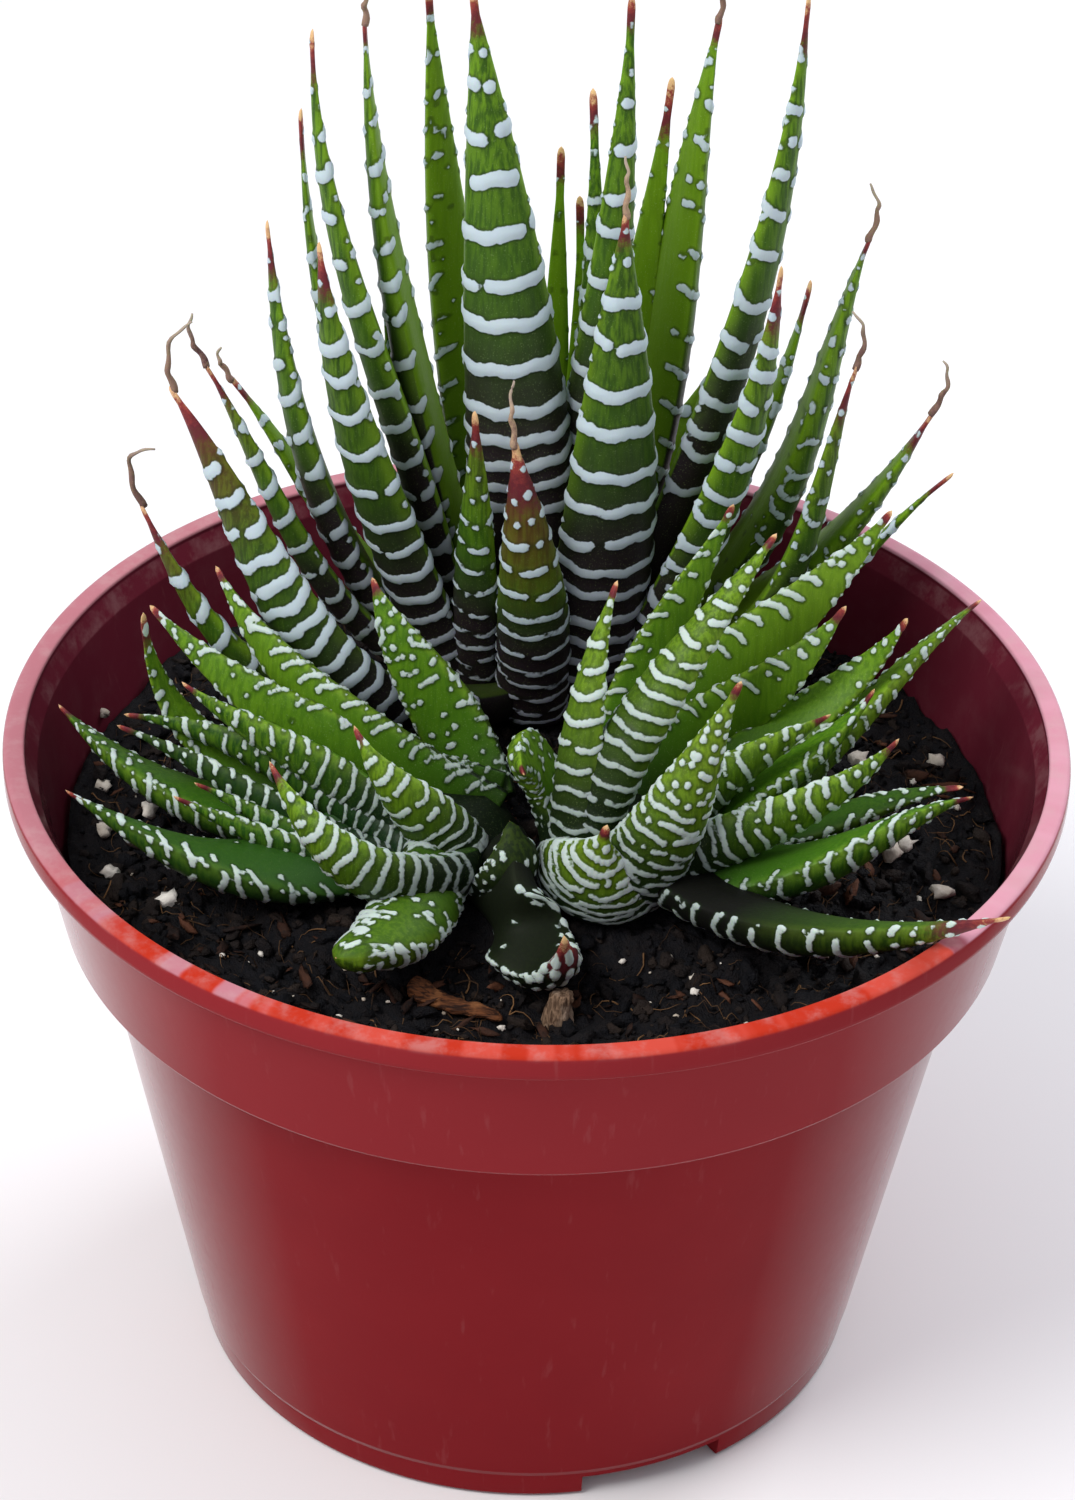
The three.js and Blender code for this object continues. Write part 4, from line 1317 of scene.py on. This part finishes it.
for _ in range(small_grain_count):
    x, y = random_place(grain_rng)
    size = 0.13 + 0.34 * grain_rng.random() ** 2
    if free_height(x, y) > 1.5 * size:
        points, faces = grain_rng.choice(small_shapes)
        points = tumbled(points, grain_rng, [1, 0.8, 0.7]) * size
        grains.add(points + [x, y, rough_soil(x, y) + 0.2], faces, tone=grain_rng.uniform(0.1, 0.8))
grains.piece("perlite_grains", perlite, slot="soil")

# %% Shreds of bark
known_shreds = [(39.0, 22.6, 2.6), (33.8, -7.1, 2.6), (43.0, 9.5, 2.0), (36.5, 17.5, 2.2)]
shred_count = 420
shred_room = 1.8
shreds = Heap()
for index in range(shred_count):
    x, y = random_place(grain_rng)
    size = 0.6 + 1.5 * grain_rng.random() ** 2
    tone = grain_rng.random() ** 2
    if index < len(known_shreds):
        x, y, size = known_shreds[index]
        tone = 0.9
    if free_height(x, y) < shred_room or math.hypot(x, y) + size > mix_reach + 0.2:
        continue
    points, faces = grain_rng.choice(crumb_shapes)
    points = points * [size, size * grain_rng.uniform(0.22, 0.5), size * 0.14]
    turn = Matrix.Rotation(grain_rng.uniform(0, 6.3), 3, "Z")
    tilt = Matrix.Rotation(grain_rng.uniform(-0.6, 0.6), 3, "Y")
    roll = Matrix.Rotation(grain_rng.uniform(-0.9, 0.9), 3, "X")
    points = points @ np.array(turn @ tilt @ roll).T
    shreds.add(points + [x, y, rough_soil(x, y) + 0.3], faces, tone=tone)
shreds.piece("bark_shreds", bark, slot="soil")

# %% [markdown]
# ## The dead leaf and the old stub
#
# One old leaf has dried to a brown, fibrous strip that lies on the mix at the front, and a tan
# stub of an old root or flower stalk stands beside it. A tube with deep lengthwise folds gives
# the look of both; cloth simulation would be too soft for something so brittle.


# %% Dry material
def dry_material(name, dark, light, patch, turn, squeeze):
    """Fibres that run along the form, with patches of another tone."""
    material, recipe, shader = new_material(name, Specular_IOR_Level=0.2)
    where = recipe.place()
    lines = recipe.mottle(recipe.stretched(where, squeeze, turn), 3400.0, 4, 0.6)
    colour = recipe.blend(recipe.between(lines, 0.35, 0.66), dark, light)
    patches = recipe.between(recipe.mottle(where, 420.0, 3), 0.52, 0.68)
    colour = recipe.blend(patches, colour, patch)
    finish_material(recipe, shader, colour, recipe.scaled(lines, 0.2, 0.7), lines, 0.3)
    return material


def folded(turn, depth, tightness, shift):
    """How far a fold pushes the skin in or out at an angle round the form."""
    place = (math.cos(turn) * tightness, math.sin(turn) * tightness, shift)
    return 1 + depth * noise.noise(Vector(place))


# %% Dead leaf
dead_from = np.array([-12.0, -27.8])
dead_to = np.array([-2.7, -31.0])
dead_rings, dead_sides = 70, 30
dead_lift = 0.7
dead_run = dead_to - dead_from
dead_side = np.array([-dead_run[1], dead_run[0]]) / np.linalg.norm(dead_run)
dead_points = []
for ring in range(dead_rings):
    t = ring / (dead_rings - 1)
    x, y = dead_from + dead_run * t
    wide = 1.5 * (1 - 0.62 * t) * (1 + 0.22 * noise.noise(Vector((t * 9, 0, 4))))
    thick = 0.72 * (1 - 0.5 * t)
    end = math.sqrt(max(0.02, 1 - (1 - min(1, t * 12, (1 - t) * 10)) ** 2))
    for k in range(dead_sides):
        a = 2 * math.pi * k / dead_sides
        fold = folded(a + t, 0.34, 4.4, t * 4)
        across = wide * end * fold * math.cos(a)
        rise = thick * end * fold * math.sin(a)
        px, py = x + dead_side[0] * across, y + dead_side[1] * across
        dead_points.append((px, py, soil_height(x, y) + dead_lift + thick + rise))
dead_turn = (0, 0, math.atan2(-dead_run[1], dead_run[0]))
dead_skin = dry_material("dried leaf", "24120b", "6e4226", "855634", dead_turn, (0.12, 1, 1))
dead_faces = closed_tube(dead_rings, dead_sides)
make_piece("dried_leaf", dead_points, dead_faces, dead_skin, replaced=["dead_leaf"], slot="dead_leaf")

# %% Old stub
stub_place = (2.6, -29.6)
stub_profile = [(1.5, -1.2), (1.45, 0.6), (1.2, 1.6), (1.05, 2.6), (1.2, 3.3), (0.9, 3.8), (0.3, 3.9)]
stub_sides = 28
stub_points = []
for radius, height in stub_profile:
    for k in range(stub_sides):
        a = 2 * math.pi * k / stub_sides
        fold = folded(a, 0.4, 2.6, height * 0.5)
        x = stub_place[0] + radius * fold * math.cos(a) + 0.12 * height
        y = stub_place[1] + 0.8 * radius * fold * math.sin(a)
        stub_points.append((x, y, soil_height(*stub_place) + height + 0.3 * fold))
stub_skin = dry_material("old stub", "4e3a2c", "9c8068", "b79f8a", (0, 0, 0), (1, 1, 0.15))
stub_faces = closed_tube(len(stub_profile), stub_sides)
make_piece("old_stub", stub_points, stub_faces, stub_skin, slot="dead_leaf")

# %% [markdown]
# ## The pot
#
# The pot is injection moulded in one piece: a rolled lip, a tapered collar, a step in to the
# body, and a foot ring with three drain notches. Turning a profile about the axis gives that
# form; rounding every corner of the profile first gives the highlights that moulded edges have.


# %% Profile with rounded corners
def rounded(profile, radii, steps=4):
    """The profile with each corner replaced by a small arc."""
    points = [np.array(p, dtype=float) for p in profile]
    made = [points[0]]
    for before, corner, after, radius in zip(points, points[1:], points[2:], radii):
        first = unit(before - corner)
        second = unit(after - corner)
        angle = math.acos(max(-1, min(1, float(first @ second))))
        room = 0.45 * min(np.linalg.norm(before - corner), np.linalg.norm(after - corner))
        back = min(radius / math.tan(angle / 2), room)
        start, end = corner + first * back, corner + second * back
        for step in range(steps + 1):
            s = step / steps
            made.append(start * (1 - s) ** 2 + corner * 2 * s * (1 - s) + end * s * s)
    made.append(points[-1])
    return made


pot_profile = [
    ((0.4, 3.5), 0.1), ((33.9, 3.5), 0.3), ((33.9, 0.0), 0.3), ((35.7, 0.0), 0.35),
    ((36.1, 3.1), 0.15), ((36.5, 3.9), 0.6), ((45.7, 54.5), 0.35), ((48.6, 54.5), 0.5),
    ((48.95, 55.0), 0.4), ((52.0, 70.3), 0.3), ((53.9, 70.3), 0.35), ((54.0, 70.9), 0.4),
    ((54.0, 73.0), 0.75), ((51.8, 73.0), 0.7), ((51.75, 72.3), 0.4), ((50.6, 70.3), 0.8),
    ((collar_inside(ledge_top), ledge_top), 0.5), ((44.3, ledge_top - 0.4), 0.5),
    ((35.1, 5.0), 1.0), ((0.4, 5.0), 0.1),
]
corners = [corner for corner, _ in pot_profile]
outline = rounded(corners, [radius for _, radius in pot_profile[1:-1]])
print("pot profile has", len(outline), "points")

# %% [markdown]
# ## Pot plastic
#
# The plastic is red-brown polypropylene, glossy enough to show a soft sheen along its flanks. An
# unwrapped texture could hold its tones, but painting by place on the pot keeps them right from
# all sides. So the height, the distance from the axis and the compass angle are worked out first.

# %% Places on the pot
plastic, recipe, shader = new_material(
    "red nursery pot plastic", Specular_IOR_Level=0.02, Coat_Roughness=0.2, Coat_IOR=1.6
)
where = recipe.place()
parts = recipe.node("ShaderNodeSeparateXYZ", {0: where}).outputs
height_mm = recipe.times(parts["Z"], 1000.0)
around = recipe.reckon("ARCTAN2", parts["Y"], parts["X"])
compass = recipe.times(around, 180 / math.pi)
squares = [recipe.reckon("POWER", parts[axis], 2.0) for axis in "XY"]
away_mm = recipe.times(recipe.reckon("SQRT", recipe.plus(*squares)), 1000.0)
print("places on the pot take", len(recipe.tree.nodes), "nodes")

# %% [markdown]
# ## Walls of the pot
#
# The body is faintly cloudy, the collar is a little lighter in painted light, and the inside is
# dark maroon, painted shade because little light gets there. The inner wall is told from the
# outer one by its distance from the axis. Two materials on two sets of faces would do it too, but
# they couldn't fade.

# %% Colour of the walls
grain = recipe.use(fine_grain, Vector=where, Scale=700.0)
clouds = recipe.mottle(where, 26.0, 3, 0.5)
middle_of_wall = recipe.scaled(height_mm, 0.1962, 37.5)
inside = recipe.between(recipe.reckon("SUBTRACT", middle_of_wall, away_mm), 0.2, 0.5)
inside = recipe.times(inside, recipe.between(height_mm, 55.0, 56.0))
under_lip = recipe.between(height_mm, 70.35, 70.5)
inside_lip = recipe.times(under_lip, recipe.between(away_mm, 53.0, 52.8))
pot_colour = recipe.layers(
    recipe.blend(clouds, "77181e", "882226"),
    (recipe.times(grain["Patches"], 0.35), "641119"),
    # Painted light: the collar above the step is lightened.
    (recipe.times(recipe.between(height_mm, 54.3, 54.6), 0.3), "9c383d"),
    # Painted shade: the inner wall and the inside of the lip are dark maroon.
    (recipe.reckon("MAXIMUM", inside, inside_lip), "62202e"),
)
print("with the walls", len(recipe.tree.nodes), "nodes")

# %% [markdown]
# ## Lip of the pot
#
# The lip is thin and lets light through: at the front it glows orange red, with a sharp end
# where the light from behind stops and the leaf over the rim casts a painted shadow, and elsewhere
# it is pink with a painted sheen. Real translucency would need many more samples, and the glow
# would move with the lights. So they are painted by compass angle and by place.

# %% Colour of the lip
glow_rise = (-156.0, -134.0)
full_glow_rise = (-125.0, -100.0)
glow_stop = (-42.0, -42.6)
leaf_shadow_end = (-39.5, -40.5)
on_lip = recipe.times(recipe.between(height_mm, 72.55, 72.8), recipe.between(away_mm, 51.2, 51.6))
along_lip = recipe.node("ShaderNodeCombineXYZ", {0: recipe.times(around, 14.0), 1: 0.3}).outputs[0]
patches = recipe.mottle(along_lip, 1.0, 2, 0.5)
# Painted sheen: away from the glow the lip is pink, darker at the left and in lighter patches to the
# right.
to_the_right = recipe.between(parts["X"], -0.045, 0.03)
sheen_pink = recipe.blend(to_the_right, "b4747e", recipe.blend(patches, "c58090", "d6a1b1"))
glow = recipe.times(recipe.between(compass, *glow_rise), recipe.between(compass, *glow_stop))
full_glow = recipe.times(recipe.between(compass, *full_glow_rise), 0.22)
glow = recipe.times(glow, recipe.between(recipe.plus(patches, full_glow), 0.46, 0.56))
ember = recipe.blend(recipe.between(patches, 0.45, 0.55), "c4493c", "b5311f")
lip_colour = recipe.blend(glow, sheen_pink, ember)
# Painted shadow: a darker band on the lip just past the glow's end, where a leaf lies over the rim.
after_glow = recipe.between(compass, *reversed(glow_stop))
leaf_shadow_mark = recipe.times(after_glow, recipe.between(compass, *leaf_shadow_end))
lip_colour = recipe.blend(recipe.times(leaf_shadow_mark, 0.7), lip_colour, "8c2130")
pot_colour = recipe.blend(on_lip, pot_colour, lip_colour)
print("with the lip", len(recipe.tree.nodes), "nodes")

# %% [markdown]
# ## Wear and sheen
#
# Dust lies on what looks up, and fine upright scuffs come from handling. The sheen grows where
# the wall turns away from the eye, so the coat is driven by the view angle. A plain glossy
# surface would mirror the lights as hard stripes.

# %% Dust, scuffs and sheen
dust = recipe.use(settled_dust, Vector=where, Amount=0.3, Scale=260.0)
upright = recipe.stretched(where, (1, 1, 0.08))
scuffs = recipe.between(recipe.mottle(upright, 900.0, 3), 0.62, 0.75)
worn = ((dust["Mask"], "c3a7a6"), (recipe.times(scuffs, 0.08), "b07c7c"))
pot_colour = recipe.layers(pot_colour, *worn)
pot_rough = recipe.total(recipe.scaled(grain["Relief"], 0.14, 0.3), (scuffs, 0.15))
grazing = recipe.node("ShaderNodeLayerWeight", {"Blend": 0.5}).outputs["Facing"]
recipe.feed(shader.inputs["Coat Weight"], recipe.between(grazing, 0.58, 0.96, smooth=False))
pot_relief = recipe.total(recipe.times(grain["Relief"], 0.3), (clouds, 1.2))
finish_material(recipe, shader, pot_colour, pot_rough, pot_relief, 0.12, 0.5)

# %% [markdown]
# ## Turning the pot
#
# A pot like this is round all over, so its profile is turned about the axis in small steps. A
# screw modifier would do the same, but one function here already turns the crowns and the mix,
# and it serves for the pot too.

# %% Turn the pot
pot_sides = 220
pot_faces = closed_tube(len(outline), pot_sides)
pot = make_piece(
    "nursery_pot", turned(outline, pot_sides), pot_faces, plastic, replaced=["pot"], slot="pot"
)

# %% [markdown]
# ## Drain notches and holes
#
# Three notches in the foot ring and three holes in the floor let water out. Faces could be left
# out by hand, but then the new edges would need faces of their own. A Boolean modifier cuts the
# turned shape with a solid blade and closes the edges itself.

# %% Cut the drains
drain_angles = [-67, 53, 173]
notch_half_angle = 12.5
notch_radii = (37.0, 32.9)
notch_top = 2.5
hole_radius = 3.2
hole_from_axis = 26
sharp_angle = 35


def arc(radius, angles, x=0.0, y=0.0):
    """Points at some angles on a circle round x and y."""
    return [(x + radius * math.cos(a), y + radius * math.sin(a)) for a in angles]


def blade_object(corners, low, high):
    """A prism over corners in mm, to cut with."""
    points = [(x, y, z) for z in (low, high) for x, y in corners]
    mesh = bpy.data.meshes.new("blade")
    mesh.from_pydata((np.array(points) * mm).tolist(), [], closed_tube(2, len(corners)))
    blade = bpy.data.objects.new("blade", mesh)
    bpy.context.scene.collection.objects.link(blade)
    return blade


for drain_angle in drain_angles:
    drain = math.radians(drain_angle)
    span = [drain + math.radians(notch_half_angle) * k / 8 for k in range(-8, 9)]
    notch = arc(notch_radii[0], span) + arc(notch_radii[1], reversed(span))
    circle = [2 * math.pi * k / 40 for k in range(40)]
    hole = arc(hole_radius, circle, *arc(hole_from_axis, [drain])[0])
    for corners, low, high in ((notch, -1.0, notch_top), (hole, notch_top, 6.0)):
        blade = blade_object(corners, low, high)
        cut = pot.modifiers.new("drain", "BOOLEAN")
        cut.object = blade
        cut.solver = "EXACT"
        with bpy.context.temp_override(object=pot, active_object=pot):
            bpy.ops.object.modifier_apply(modifier=cut.name)
        bpy.data.objects.remove(blade)
pot.data.set_sharp_from_angle(angle=math.radians(sharp_angle))
print("pot after the drains:", len(pot.data.polygons), "faces")
